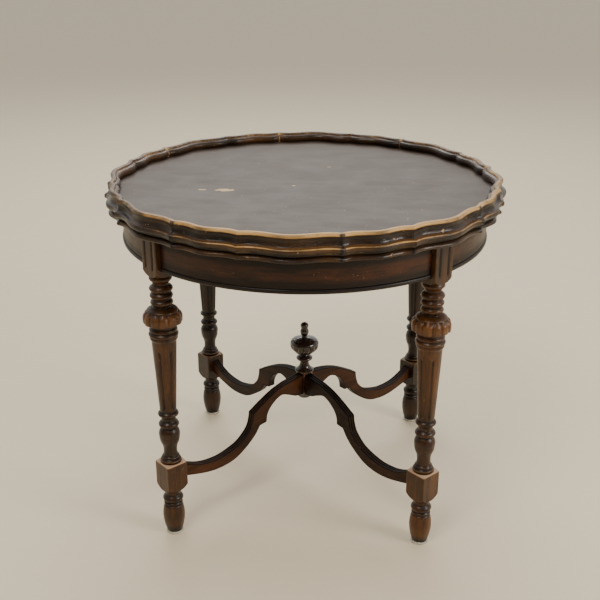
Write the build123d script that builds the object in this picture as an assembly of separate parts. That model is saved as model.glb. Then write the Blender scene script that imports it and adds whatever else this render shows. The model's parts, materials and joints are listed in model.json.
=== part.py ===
from build123d import *

import math
import os

# Round occasional table. A scalloped pie-crust top tips up on two brass hinges at the back of
# a drum apron, which stands on four turned legs tied by a serpentine cross stretcher.
# Millimetres. +Z is up, the floor is z = 0, the axis of the drum is x = y = 0 and the front is -Y.

os.makedirs("parts", exist_ok=True)

# ---- Driving dimensions ----
TABLE_HEIGHT = 654.0
TOP_DIAMETER = 762.0  # over the nosing, crown to opposite crown
APRON_DIAMETER = 693.0
APRON_HEIGHT = 61.0
APRON_THICKNESS = 20.0
GALLERY_HEIGHT = 20.0  # rim above the flat of the top
BOARD_THICKNESS = 18.0
UNDER_MOULDING_HEIGHT = 9.6
TOP_GAP = 0.4  # between the closed top and the drum it rests over

# Plan of the scalloped rim: long and short lobes take turns round the edge, cusp to cusp.
LONG_LOBES = 8
LONG_HALF_ANGLE = 13.0
LONG_VALLEY_ANGLE = 9.0
SHORT_VALLEY_ANGLE = 6.2
SHORT_CROWN_DROP = 3.0
VALLEY_DROP = 9.5
CUSP_DROP = 3.6
LOBE_PITCH = 360.0 / LONG_LOBES

RIM_BOARD_INSET = 21.0  # from the crown of the nosing in to the edge of the board
LEG_BLOCK = 43.0  # square section of the leg at the post and at the stretcher
POST_PROUD = 9.3  # post face beyond the apron face
FOOT_BLOCK_BOTTOM = 94.0
FOOT_BLOCK_TOP = 152.0
POMMEL = 15.0  # height of the rounded shoulder under each square block
POST_BELOW_APRON = 18.0
TENON = 8.0  # thickness of every tenon
TENON_LENGTH = 9.5
MORTISE_SPARE = 0.5
FLUTE_COUNT = 6
FLUTE_RADIUS = 2.8
GADROON_COUNT = 12
GLIDE_RADIUS = 16.8
GLIDE_THICKNESS = 4.5
GLIDE_NAIL_RADIUS = 2.0
GLIDE_NAIL_LENGTH = 12.0

ARM_THICKNESS = 16.0
REED_GROOVE = 1.6
REED_DEPTH = 1.2
HUB_WIDTH = 24.0
HUB_TOP = 237.5
HUB_BOTTOM = 176.0
HUB_TENON_LENGTH = 6.0
HUB_DOWEL_RADIUS = 4.0
HUB_DOWEL_LENGTH = 12.0

BEAD_HEIGHT = 8.0
BEAD_DEPTH = 4.0
BEAD_PROUD = 2.2
CORNER_BLOCK_DEPTH = 25.0
CORNER_BLOCK_HEIGHT = 40.0
RAIL_OFFSET = 150.0
RAIL_WIDTH = 22.0
RAIL_HEIGHT = 30.0
BEARER_OFFSET = 150.0
BEARER_WIDTH = 44.0
BEARER_THICKNESS = 18.0
BEARER_INSET = 101.5  # bearer end in from the inside of the drum

HINGE_SPACING = 62.0
HINGE_WIDTH = 36.0
HINGE_DEPTH = 20.0
HINGE_LEAF = 1.5
KNUCKLE_RADIUS = 3.2
KNUCKLE_COUNT = 5
KNUCKLE_GAP = 0.3
HINGE_PIN_RADIUS = 1.5
RUNNING_CLEARANCE = 0.06
HINGE_BEHIND_APRON = 5.0
SWING_CLEARANCE = 0.5

BOLT_RADIUS = 3.0
BOLT_LENGTH = 74.0
BOLT_TRAVEL = 14.0
BOLT_STANDOFF = 4.5  # tip of the drawn bolt in from the drum
BOLT_DROP = 7.8  # bolt axis below the top of the drum
BOLT_PLATE = (28.0, 56.0, 1.5)
BOLT_LOOP = (13.0, 8.0)
BOLT_HOLE_CLEARANCE = 0.6
BOLT_BLOCK_WIDTH = 44.0
STRIKE_PLATE = (26.0, 1.5, 15.0)
SMALL_SCREW = (1.4, 2.8, 9.0)  # shank radius, head radius, length
LARGE_SCREW = (2.1, 4.2, 28.0)
BLOCK_SCREW = (2.1, 4.2, 38.0)

# ---- Levels and radii that follow ----
top_radius = TOP_DIAMETER / 2
board_radius = top_radius - RIM_BOARD_INSET
board_top = TABLE_HEIGHT - GALLERY_HEIGHT
board_bottom = board_top - BOARD_THICKNESS
top_underside = board_bottom - UNDER_MOULDING_HEIGHT
drum_top = top_underside - TOP_GAP
drum_bottom = drum_top - APRON_HEIGHT
apron_radius = APRON_DIAMETER / 2
drum_inside = apron_radius - APRON_THICKNESS
leg_radius = apron_radius + POST_PROUD - LEG_BLOCK / 2
half_block = LEG_BLOCK / 2
post_bottom = drum_bottom - POST_BELOW_APRON
LEG_ANGLES = {"front_right": -45, "back_right": 45, "back_left": 135, "front_left": -135}
SIDE_ANGLES = {"front": -90, "right": 0, "back": 90, "left": 180}


def write(name, piece):
    export_step(piece, f"parts/{name}.step")


def turned(profile):
    """A solid of revolution about Z. Each profile point is (radius, height, swell): the stretch that
    ends there is straight for swell 0, or an arc that bulges out by that much."""
    start = (profile[0][0], profile[0][1])
    edges = [Line((0, start[1]), start)]
    for radius, height, swell in profile[1:]:
        end = (radius, height)
        dr, dz = end[0] - start[0], end[1] - start[1]
        run = math.hypot(dr, dz)
        if swell:
            middle = (
                (start[0] + end[0]) / 2 + swell * dz / run,
                (start[1] + end[1]) / 2 - swell * dr / run,
            )
            edges.append(ThreePointArc(start, middle, end))
        else:
            edges.append(Line(start, end))
        start = end
    edges.append(Line(start, (0, start[1])))
    edges.append(Line((0, start[1]), (0, profile[0][1])))
    return revolve(Plane.XZ * make_face(edges), Axis.Z)


def block(low, high):
    """A box from its lowest corner to its highest."""
    size = [b - a for a, b in zip(low, high)]
    middle = [(a + b) / 2 for a, b in zip(low, high)]
    return Pos(*middle) * Box(*size)


def ring(inner, outer, low, high):
    body = Cylinder(outer, high - low) - Cylinder(inner, high - low)
    return Pos(0, 0, (low + high) / 2) * body


def screw(sizes):
    """A countersunk screw with the face of its head at z = 0, pointing down."""
    shank, head, length = sizes
    sink = head - shank
    return Pos(0, 0, -sink / 2) * Cone(shank, head, sink) + Pos(0, 0, -length / 2) * Cylinder(
        shank, length
    )


# ---- Scalloped top ----
def polar(radius, angle):
    return (radius * math.cos(math.radians(angle)), radius * math.sin(math.radians(angle)))


SHORT_HALF_ANGLE = LOBE_PITCH / 2 - LONG_HALF_ANGLE
LOBES = [
    # middle, half angle, valley angle, crown drop
    (0.0, LONG_HALF_ANGLE, LONG_VALLEY_ANGLE, 0.0),
    (LOBE_PITCH / 2, SHORT_HALF_ANGLE, SHORT_VALLEY_ANGLE, SHORT_CROWN_DROP),
]


def lobe_line(crown, count):
    """The plan of count pairs of lobes as edges, cusp to cusp, from the first long lobe's cusp.
    crown is the radius at the crown of a long lobe."""
    edges = []
    for pair in range(count):
        for middle, half, valley, drop in LOBES:
            turns = [
                (-half, CUSP_DROP),
                (-valley, VALLEY_DROP),
                (0.0, drop),
                (valley, VALLEY_DROP),
                (half, CUSP_DROP),
            ]
            centre = middle + pair * LOBE_PITCH
            edges.append(Spline(*[polar(crown - d, centre + a) for a, d in turns]))
    return edges


def lobed_slice(outer, inner, height, count, scalloped_inside):
    """A flat slice of rim between two radii, count pairs of lobes long."""
    first, last = -LONG_HALF_ANGLE, count * LOBE_PITCH - LONG_HALF_ANGLE
    cusp = outer - CUSP_DROP
    if scalloped_inside:
        inside = lobe_line(inner, count)
        inner_cusp = inner - CUSP_DROP
    else:
        inner_cusp = inner
        middle = (first + last) / 2
        inside = [ThreePointArc(polar(inner, first), polar(inner, middle), polar(inner, last))]
    edges = lobe_line(outer, count) + inside
    edges.append(Line(polar(cusp, first), polar(inner_cusp, first)))
    edges.append(Line(polar(cusp, last), polar(inner_cusp, last)))
    return Pos(0, 0, height) * make_face(edges)


def stacked(levels, count, scalloped_inside):
    """A moulding built up from slices: each level is (outer inset, inner inset, height), and the
    insets are measured in from the crown of the nosing."""
    slices = [
        lobed_slice(top_radius - outer, top_radius - inner, height, count, scalloped_inside)
        for outer, inner, height in levels
    ]
    body = loft(slices[0:2], ruled=True)
    for low, high in zip(slices[1:-1], slices[2:]):
        body = body + loft([low, high], ruled=True)
    return body


def rim_segment():
    """One eighth of the rim: a lower part wrapped round the edge of the board, with the nosing, and
    the gallery above the board, with a lip outside and a lower roll inside."""
    b = board_bottom
    t = board_top
    wrap = [
        (8.0, RIM_BOARD_INSET, b),
        (8.0, RIM_BOARD_INSET, b + 4.0),
        (1.6, RIM_BOARD_INSET, b + 6.2),
        (0.0, RIM_BOARD_INSET, b + 9.0),
        (0.0, RIM_BOARD_INSET, b + 13.0),
        (1.7, RIM_BOARD_INSET, b + 15.6),
        (6.0, RIM_BOARD_INSET, b + 16.8),
        (7.2, RIM_BOARD_INSET, t),
    ]
    gallery = [
        (7.2, 21.5, t),
        (8.6, 22.8, t + 3.0),
        (9.4, 24.3, t + 6.0),
        (9.2, 24.3, t + 10.0),
        (8.2, 22.6, t + 13.2),
        (7.4, 19.0, t + 14.7),
        (7.4, 17.4, t + 16.8),
        (9.2, 16.0, t + 19.2),
        (11.2, 14.2, TABLE_HEIGHT),
    ]
    body = stacked(wrap, 1, False)
    return body + stacked(gallery, 1, True)


def under_moulding():
    """A quarter of the moulding under the board, with a small half-round edge."""
    inner = top_radius - drum_inside
    u = top_underside
    levels = [
        (6.0, inner, u),
        (3.6, inner, u + 2.0),
        (3.4, inner, u + 5.4),
        (5.4, inner, u + 7.6),
        (9.0, inner, board_bottom),
    ]
    return stacked(levels, LONG_LOBES // 4, False)


# ---- Hinges at the back of the drum ----
hinge_y = apron_radius + HINGE_BEHIND_APRON
hinge_z = drum_top + TOP_GAP / 2
hinge_front = hinge_y - HINGE_DEPTH
hinge_centres = {"right": HINGE_SPACING / 2, "left": -HINGE_SPACING / 2}
knuckle_pitch = HINGE_WIDTH / KNUCKLE_COUNT


def along_x(radius, length, x, y, z):
    return Pos(x, y, z) * Rot(0, 90, 0) * Cylinder(radius, length)


def hinge_leaf(centre, moving):
    """One leaf, let in flush, with its share of the knuckles. The moving leaf is above."""
    low = top_underside if moving else drum_top - HINGE_LEAF
    left = centre - HINGE_WIDTH / 2
    leaf = block((left, hinge_front, low), (left + HINGE_WIDTH, hinge_y, low + HINGE_LEAF))
    for i in range(KNUCKLE_COUNT):
        x = left + (i + 0.5) * knuckle_pitch
        mine = (i % 2 == 1) == moving
        if not mine:
            radius = KNUCKLE_RADIUS + KNUCKLE_GAP
            leaf -= along_x(radius, knuckle_pitch, x, hinge_y, hinge_z)
    for i in range(KNUCKLE_COUNT):
        x = left + (i + 0.5) * knuckle_pitch
        if (i % 2 == 1) == moving:
            leaf += along_x(KNUCKLE_RADIUS, knuckle_pitch - KNUCKLE_GAP, x, hinge_y, hinge_z)
    bore = HINGE_PIN_RADIUS + (RUNNING_CLEARANCE if moving else 0.0)
    leaf -= along_x(bore, HINGE_WIDTH + 2, centre, hinge_y, hinge_z)
    return leaf


def hinge_screw_set(moving):
    """Three screws through each leaf, with their heads facing the other leaf."""
    screws = []
    for centre in hinge_centres.values():
        for dx, dy in ((-12.0, 6.0), (0.0, 11.0), (12.0, 6.0)):
            place = Pos(centre + dx, hinge_front + dy, top_underside if moving else drum_top)
            turn = Rot(180, 0, 0) if moving else Rot(0, 0, 0)
            screws.append(place * turn * screw(SMALL_SCREW))
    return screws


def hinge_seats(moving):
    """What the leaves take out of the wood they are let into, one box for each leaf, and the
    groove that leaves the knuckles free."""
    low = top_underside if moving else drum_top - HINGE_LEAF
    cuts = []
    for centre in hinge_centres.values():
        left = centre - HINGE_WIDTH / 2
        right = left + HINGE_WIDTH
        cuts.append(block((left, hinge_front, low), (right, hinge_y, low + HINGE_LEAF)))
        if moving:
            groove = KNUCKLE_RADIUS + SWING_CLEARANCE
            length = HINGE_WIDTH + 2 * SWING_CLEARANCE
            cuts.append(along_x(groove, length, centre, hinge_y, hinge_z))
    return cuts


# ---- Bolt under the front of the top ----
bolt_z = drum_top - BOLT_DROP
bolt_tip = -(drum_inside - BOLT_STANDOFF)
plate_low = bolt_z + BOLT_RADIUS + 1.3
plate_back = bolt_tip + BOLT_PLATE[1] + 4.0
plate_front = plate_back - BOLT_PLATE[1]


def along_y(radius, low, high, x, z):
    return Pos(x, (low + high) / 2, z) * Rot(90, 0, 0) * Cylinder(radius, high - low)


def bolt_plate():
    """A plate with two loops that the bolt slides in."""
    width, length, thickness = BOLT_PLATE
    body = block((-width / 2, plate_front, plate_low), (width / 2, plate_back, plate_low + thickness))
    loop_width, loop_length = BOLT_LOOP
    for start in (plate_front + 2.0, plate_back - 2.0 - loop_length):
        low = (-loop_width / 2, start, bolt_z - BOLT_RADIUS - 1.6)
        body += block(low, (loop_width / 2, start + loop_length, plate_low))
    bore = BOLT_RADIUS + RUNNING_CLEARANCE
    return body - along_y(bore, plate_front - 1, plate_back + 1, 0, bolt_z)


def bolt():
    """A round bolt with a hanging knob between the loops."""
    knob_y = (plate_front + plate_back) / 2 + BOLT_TRAVEL / 2
    body = along_y(BOLT_RADIUS, bolt_tip, bolt_tip + BOLT_LENGTH, 0, bolt_z)
    body += Pos(0, knob_y, bolt_z - 5.0) * Cylinder(2.0, 10.0)
    return body + Pos(0, knob_y, bolt_z - 11.0) * Sphere(4.2)


def bolt_screw_set():
    x = BOLT_PLATE[0] / 2 - 3.6
    ys = (plate_front + 6.0, plate_back - 6.0)
    places = [Pos(s * x, y, plate_low) for s in (-1, 1) for y in ys]
    return [place * Rot(180, 0, 0) * screw(SMALL_SCREW) for place in places]


def strike_plate():
    width, thickness, height = STRIKE_PLATE
    low = (-width / 2, -drum_inside - thickness, bolt_z - height / 2)
    body = block(low, (width / 2, -drum_inside, bolt_z + height / 2))
    hole = BOLT_RADIUS + BOLT_HOLE_CLEARANCE
    return body - along_y(hole, low[1] - 1, -drum_inside + 1, 0, bolt_z)


def strike_screw_set():
    x = STRIKE_PLATE[0] / 2 - 4.0
    return [Pos(s * x, -drum_inside, bolt_z) * Rot(90, 0, 0) * screw(SMALL_SCREW) for s in (-1, 1)]


# ---- Legs ----
SHAFT_BOTTOM = (15.3, 265.0)
SHAFT_TOP_RADIUS = 22.4
SHAFT_TOP_BELOW_DRUM = 141.0
FOOT_TURNING = [
    (14.4, GLIDE_THICKNESS, 0),
    (20.9, 37.0, 1.2),
    (17.2, 55.0, 1.6),
    (15.4, 56.5, 0),
    (15.4, 58.6, 0),
    (15.4, 63.0, 1.7),
    (14.2, 64.0, 0),
    (14.2, 70.0, -0.8),
    (14.6, 81.2, 5.2),
    (14.0, 82.2, 0),
    (14.0, 89.0, -0.6),
    (17.5, FOOT_BLOCK_BOTTOM, -0.8),
    (17.5, FOOT_BLOCK_TOP, 0),
]
BALUSTER_TURNING = [
    (15.6, FOOT_BLOCK_TOP, 0),
    (15.4, 161.0, 4.2),
    (14.8, 161.8, 0),
    (14.8, 166.4, 1.9),
    (13.8, 167.4, 0),
    (12.2, 181.0, -0.5),
    (15.6, 196.5, -0.7),
    (19.2, 212.5, 0.9),
    (15.4, 228.5, 1.9),
    (14.4, 229.6, 0),
    (14.4, 230.6, 0),
    (14.4, 243.2, 4.6),
    (13.8, 244.4, 0),
    (13.8, 252.2, -0.5),
    (14.4, 253.2, 0),
    (14.8, 264.2, 4.6),
    (*SHAFT_BOTTOM, 0),
]
# Heights here are measured down from the bottom of the drum.
CAPITAL_TURNING = [
    (SHAFT_TOP_RADIUS, SHAFT_TOP_BELOW_DRUM, 0),
    (23.6, 135.6, -0.6),
    (23.8, 123.6, 3.1),
    (22.8, 122.9, 0),
    (22.8, 117.4, 1.9),
    (22.4, 117.0, 0),
    (33.6, 116.5, 0),
    (35.3, 106.0, 0.5),
    (34.6, 97.0, 0.5),
    (30.6, 91.6, 1.1),
    (28.4, 91.0, 0),
    (28.0, 87.0, 0.4),
    (22.0, 79.6, 1.8),
    (15.4, 76.6, 0.6),
    (15.2, 72.2, -0.5),
    (15.6, 64.0, 3.8),
    (16.4, 63.2, 0),
    (16.4, 50.2, 3.9),
    (16.0, 49.0, 0),
    (15.8, 35.0, 4.8),
    (14.6, 33.6, 0),
    (14.6, 26.0, -0.6),
    (16.8, POST_BELOW_APRON, -0.5),
]
GADROON_BOTTOM = 116.5
GADROON_TOP = 94.0
GADROON_RADIUS = 36.0
GADROON_CUTTER = 3.0


def square_block(bottom, top):
    """A square length of the leg whose corners are turned away below to a rounded shoulder."""
    corner = half_block * math.sqrt(2) + 0.6
    pommel = turned(
        [
            (16.8, bottom, 0),
            (corner, bottom + POMMEL, 2.6),
            (corner, top, 0),
        ]
    )
    sides = block((-half_block, -half_block, bottom), (half_block, half_block, top))
    return sides & pommel


def shaft_flutes(shaft_top):
    """Round-ended flutes that follow the taper of the shaft."""
    r0, z0 = SHAFT_BOTTOM
    slope = (SHAFT_TOP_RADIUS - r0) / (shaft_top - z0)
    low, high = z0 + 9.0, shaft_top - 17.0
    stand_off = FLUTE_RADIUS - 1.8
    ends = [(r0 + slope * (z - z0) + stand_off, z) for z in (low, high)]
    length = math.dist(*ends)
    tilt = math.degrees(math.atan(slope))
    middle = [(a + b) / 2 for a, b in zip(*ends)]
    cutter = Pos(middle[0], 0, middle[1]) * Rot(0, tilt, 0) * Cylinder(FLUTE_RADIUS, length)
    for radius, height in ends:
        cutter += Pos(radius, 0, height) * Sphere(FLUTE_RADIUS)
    step = 360.0 / FLUTE_COUNT
    return [Rot(0, 0, step * (i + 0.5)) * cutter for i in range(FLUTE_COUNT)]


def post_flutes():
    """Two upright flutes in the outer face of the post, stopped short of its ends."""
    low, high = drum_bottom + 4.0, drum_top - 8.0
    x = half_block + FLUTE_RADIUS - 2.0
    cuts = []
    for y in (-LEG_BLOCK / 4, LEG_BLOCK / 4):
        cut = Pos(x, y, (low + high) / 2) * Cylinder(FLUTE_RADIUS, high - low)
        cut += Pos(x, y, low) * Sphere(FLUTE_RADIUS) + Pos(x, y, high) * Sphere(FLUTE_RADIUS)
        cuts.append(cut)
    return cuts


def gadroon_grooves(radius, cutter, low, high):
    tool = Pos(radius, 0, (low + high) / 2) * Cylinder(cutter, high - low)
    tool += Pos(radius, 0, high) * Sphere(cutter)
    step = 360.0 / GADROON_COUNT
    return [Rot(0, 0, step * (i + 0.5)) * tool for i in range(GADROON_COUNT)]


apron_tenon_low = drum_bottom + 10.0
apron_tenon_high = drum_top - 6.0
apron_middle = apron_radius - APRON_THICKNESS / 2


def leg():
    """One leg about its own axis, with +X pointing away from the middle of the table."""
    shaft_top = drum_bottom - SHAFT_TOP_BELOW_DRUM
    capital = [(r, drum_bottom - down, swell) for r, down, swell in CAPITAL_TURNING]
    body = turned(FOOT_TURNING + BALUSTER_TURNING + capital)
    body += square_block(FOOT_BLOCK_BOTTOM, FOOT_BLOCK_TOP)
    body += square_block(post_bottom, drum_top)
    grooves = gadroon_grooves(
        GADROON_RADIUS,
        GADROON_CUTTER,
        drum_bottom - GADROON_BOTTOM - 0.5,
        drum_bottom - GADROON_TOP,
    )
    for cut in shaft_flutes(shaft_top) + post_flutes() + grooves:
        body -= cut
    offset = apron_middle - leg_radius
    depth = TENON_LENGTH + MORTISE_SPARE
    for side in (-1, 1):
        y = side * (half_block - depth / 2)
        middle = Pos(offset, y, (apron_tenon_low + apron_tenon_high) / 2)
        body -= middle * Box(TENON, depth, apron_tenon_high - apron_tenon_low)
    low, high = ARM_TENON
    body -= block((-half_block, -TENON / 2, low), (-half_block + depth, TENON / 2, high))
    nail = GLIDE_THICKNESS + GLIDE_NAIL_LENGTH
    return body - Pos(0, 0, nail / 2) * Cylinder(GLIDE_NAIL_RADIUS, nail)


def glide():
    edge = 1.2
    disc = turned(
        [
            (GLIDE_RADIUS - edge, 0.0, 0),
            (GLIDE_RADIUS, edge, 0.35),
            (GLIDE_RADIUS, GLIDE_THICKNESS - edge, 0),
            (GLIDE_RADIUS - edge, GLIDE_THICKNESS, 0.35),
        ]
    )
    nail = Pos(0, 0, GLIDE_THICKNESS + GLIDE_NAIL_LENGTH / 2)
    return disc + nail * Cylinder(GLIDE_NAIL_RADIUS, GLIDE_NAIL_LENGTH)


def at_leg(angle):
    return Rot(0, 0, angle) * Pos(leg_radius, 0, 0)


# ---- Cross stretcher ----
ARM_TENON = (121.0, 141.0)
HUB_TENON = (197.0, 225.0)
# Each point is (share of the way from the hub to the leg, height).
ARM_TOP_INNER = [
    (0.0, 233.5),
    (0.06, 231.0),
    (0.16, 226.5),
    (0.26, 217.5),
    (0.353, 204.0),
    (0.43, 189.5),
]
ARM_TOP_OUTER = [
    (0.43, 189.5),
    (0.436, 174.0),
    (0.465, 155.0),
    (0.55, 135.0),
    (0.66, 124.0),
    (0.75, 121.5),
    (0.85, 125.0),
    (0.93, 134.0),
    (1.0, 146.0),
]
ARM_UNDER_INNER = [
    (0.0, 188.5),
    (0.06, 190.5),
    (0.125, 199.5),
    (0.19, 205.0),
    (0.265, 193.0),
    (0.31, 176.0),
    (0.32, 158.5),
]
ARM_UNDER_OUTER = [
    (0.375, 156.5),
    (0.42, 139.0),
    (0.49, 121.5),
    (0.58, 106.0),
    (0.67, 100.0),
    (0.77, 100.0),
    (0.88, 106.5),
    (1.0, 117.0),
]
arm_start = HUB_WIDTH / 2
arm_end = leg_radius - half_block


def arm_point(share, height):
    return (arm_start + share * (arm_end - arm_start), height)


def arm_slab(low, high, drop):
    """A slab of the arm between two offsets from its middle plane, its upper edge lowered by drop."""
    inner = [arm_point(s, h - drop) for s, h in ARM_TOP_INNER]
    outer = [arm_point(s, h - drop) for s, h in ARM_TOP_OUTER]
    under_inner = [arm_point(s, h) for s, h in ARM_UNDER_INNER]
    under_outer = [arm_point(s, h) for s, h in ARM_UNDER_OUTER]
    edges = [
        Spline(*inner),
        Spline(*outer),
        Line(outer[-1], under_outer[-1]),
        Spline(*under_outer),
        Line(under_outer[0], under_inner[-1]),
        Spline(*under_inner),
        Line(under_inner[0], inner[0]),
    ]
    face = Plane.XZ * make_face(edges)
    return Pos(0, high, 0) * extrude(face, high - low)


def arm():
    """One arm of the stretcher, along +X: three reeds run along its upper edge."""
    half = ARM_THICKNESS / 2
    reed = (ARM_THICKNESS - 2 * REED_GROOVE) / 3
    body = arm_slab(-half, half, REED_DEPTH)
    for i in range(3):
        low = -half + i * (reed + REED_GROOVE)
        body += arm_slab(low, low + reed, 0.0)
    low, high = ARM_TENON
    body += block((arm_end - 1, -TENON / 2, low), (arm_end + TENON_LENGTH, TENON / 2, high))
    low, high = HUB_TENON
    inner = arm_start - HUB_TENON_LENGTH
    return body + block((inner, -TENON / 2, low), (arm_start + 1, TENON / 2, high))


def hub():
    """The square block that the four arms are tenoned into."""
    half = HUB_WIDTH / 2
    corner = half * math.sqrt(2) + 0.4
    shoulder = turned([(9.0, HUB_BOTTOM, 0), (corner, HUB_BOTTOM + 12.0, 1.8), (corner, HUB_TOP, 0)])
    body = block((-half, -half, HUB_BOTTOM), (half, half, HUB_TOP)) & shoulder
    low, high = HUB_TENON
    for i in range(4):
        cut = block((half - HUB_TENON_LENGTH, -TENON / 2, low), (half, TENON / 2, high))
        body -= Rot(0, 0, 90 * i) * cut
    dowel = Pos(0, 0, HUB_TOP - HUB_DOWEL_LENGTH / 2)
    return body - dowel * Cylinder(HUB_DOWEL_RADIUS, HUB_DOWEL_LENGTH)


# Heights are measured up from the top of the hub.
FINIAL_TURNING = [
    (18.6, 0.0, 0),
    (19.4, 3.4, 0.6),
    (9.4, 17.0, -2.2),
    (9.0, 20.6, -0.4),
    (11.0, 23.4, 0),
    (11.0, 34.4, 5.8),
    (8.6, 37.0, -0.3),
    (26.0, 50.0, 1.4),
    (29.2, 59.0, 0.8),
    (20.0, 71.6, 3.2),
    (5.4, 75.8, 0.8),
    (5.2, 79.0, -0.3),
    (7.2, 92.6, 2.4),
    (7.2, 96.4, -0.3),
    (1.6, 108.4, 3.6),
]


def finial():
    """One turning with a gadrooned bun, standing on the hub by a turned spigot."""
    profile = [(r, HUB_TOP + up, swell) for r, up, swell in FINIAL_TURNING]
    body = turned(profile)
    for cut in gadroon_grooves(31.0, 3.2, HUB_TOP + 42.0, HUB_TOP + 64.0):
        body -= cut
    spigot = Pos(0, 0, HUB_TOP - HUB_DOWEL_LENGTH / 2)
    return body + spigot * Cylinder(HUB_DOWEL_RADIUS, HUB_DOWEL_LENGTH)


# ---- Drum ----
def post_gaps():
    """The four posts' footprints, opened outward, to part a ring into its four sides."""
    far = apron_radius + LEG_BLOCK
    cut = block((leg_radius - half_block, -half_block, 0), (far, half_block, TABLE_HEIGHT))
    return [Rot(0, 0, angle) * cut for angle in LEG_ANGLES.values()]


def sides_of(body):
    """The ring parted at the posts, as one solid for each side."""
    for cut in post_gaps():
        body -= cut
    found = {}
    for piece in body.solids():
        middle = piece.center()
        angle = math.degrees(math.atan2(middle.Y, middle.X))
        for name, wanted in SIDE_ANGLES.items():
            if abs((angle - wanted + 180) % 360 - 180) < 45:
                found[name] = piece
    return found


def apron_sides():
    """The four curved sides of the drum, rebated for the bead and tenoned into the posts."""
    rebate = ring(apron_radius - BEAD_DEPTH, apron_radius + 1, drum_bottom, drum_bottom + BEAD_HEIGHT)
    sides = sides_of(ring(drum_inside, apron_radius, drum_bottom, drum_top) - rebate)
    for name, centre in SIDE_ANGLES.items():
        for angle, y in ((centre - 45, half_block), (centre + 45, -half_block)):
            inward = math.copysign(TENON_LENGTH, y)
            ends = sorted((y - inward, y + math.copysign(2.0, y)))
            low = (apron_middle - TENON / 2, ends[0], apron_tenon_low)
            high = (apron_middle + TENON / 2, ends[1], apron_tenon_high)
            sides[name] += Rot(0, 0, angle) * block(low, high)
    return sides


def apron_beads():
    """A half-round bead let into the lower edge of each side."""
    inner = apron_radius - BEAD_DEPTH
    low, high = drum_bottom, drum_bottom + BEAD_HEIGHT
    edges = [
        Line((inner, low), (apron_radius, low)),
        ThreePointArc(
            (apron_radius, low), (apron_radius + BEAD_PROUD, (low + high) / 2), (apron_radius, high)
        ),
        Line((apron_radius, high), (inner, high)),
        Line((inner, high), (inner, low)),
    ]
    return sides_of(revolve(Plane.XZ * make_face(edges), Axis.Z))


corner_low = drum_bottom + 11.0
corner_high = corner_low + CORNER_BLOCK_HEIGHT
block_screw_heights = (corner_low + 11.0, corner_high - 11.0)


def block_screws_at(angle):
    start = leg_radius - half_block - CORNER_BLOCK_DEPTH
    turn = Rot(0, 0, angle)
    return [turn * Pos(start, 0, z) * Rot(0, -90, 0) * screw(BLOCK_SCREW) for z in block_screw_heights]


def corner_block(angle):
    """A glue block that fills the corner behind a post."""
    near = leg_radius - half_block - CORNER_BLOCK_DEPTH
    far = drum_inside + 4.0
    spread = half_block + 9.0
    wide = spread + (far - near)
    outline = Polyline((near, -spread), (near, spread), (far, wide), (far, -wide), close=True)
    body = Pos(0, 0, corner_low) * extrude(make_face(outline), CORNER_BLOCK_HEIGHT)
    body &= Pos(0, 0, (corner_low + corner_high) / 2) * Cylinder(drum_inside, CORNER_BLOCK_HEIGHT)
    body -= block((leg_radius - half_block, -half_block, 0), (far + 1, half_block, TABLE_HEIGHT))
    body = Rot(0, 0, angle) * body
    for hole in block_screws_at(angle):
        body -= hole
    return body


def cross_rail(y):
    low = drum_bottom + 8.0
    high = low + RAIL_HEIGHT
    rail = block((-drum_inside, y - RAIL_WIDTH / 2, low), (drum_inside, y + RAIL_WIDTH / 2, high))
    return rail & Pos(0, 0, (low + high) / 2) * Cylinder(drum_inside, RAIL_HEIGHT)


def bearer_screws_at(x):
    reach = (drum_inside - BEARER_INSET) * 0.8
    head = board_bottom - BEARER_THICKNESS
    return [Pos(x, y, head) * Rot(180, 0, 0) * screw(LARGE_SCREW) for y in (-reach, 0, reach)]


def bearer(x):
    reach = drum_inside - BEARER_INSET
    low = (x - BEARER_WIDTH / 2, -reach, board_bottom - BEARER_THICKNESS)
    body = block(low, (x + BEARER_WIDTH / 2, reach, board_bottom))
    for hole in bearer_screws_at(x):
        body -= hole
    return body


# ---- The top, piece by piece ----
bearer_places = {"right": BEARER_OFFSET, "left": -BEARER_OFFSET}
bearer_screws = [s for x in bearer_places.values() for s in bearer_screws_at(x)]
board = Pos(0, 0, (board_top + board_bottom) / 2) * Cylinder(board_radius, BOARD_THICKNESS)
for hole in bearer_screws:
    board -= hole
write("top_board", board)
write("bearer_screws", Compound(children=bearer_screws))
for side, x in bearer_places.items():
    write(f"bearer_{side}", bearer(x))

segment = rim_segment()
for i in range(LONG_LOBES):
    write(f"rim_segment_{i + 1}", Rot(0, 0, LOBE_PITCH * i) * segment)

quarter = under_moulding()
top_hinge_screws = hinge_screw_set(True)
for i, name in enumerate(("right", "back", "left", "front")):
    piece = Rot(0, 0, 90 * i) * quarter
    if name == "back":
        for cut in hinge_seats(True) + top_hinge_screws:
            piece -= cut
    write(f"under_moulding_{name}", piece)

for side, centre in hinge_centres.items():
    leaf = hinge_leaf(centre, True)
    for hole in top_hinge_screws:
        leaf -= hole
    write(f"hinge_leaf_top_{side}", leaf)
write("hinge_screws_top", Compound(children=top_hinge_screws))

bolt_screws = bolt_screw_set()
packer = block(
    (-BOLT_BLOCK_WIDTH / 2, plate_front, plate_low + BOLT_PLATE[2]),
    (BOLT_BLOCK_WIDTH / 2, plate_back, board_bottom),
)
plate = bolt_plate()
for hole in bolt_screws:
    packer -= hole
    plate -= hole
write("bolt_packer", packer)
write("bolt_plate", plate)
write("bolt_screws", Compound(children=bolt_screws))
write("bolt", bolt())

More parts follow.
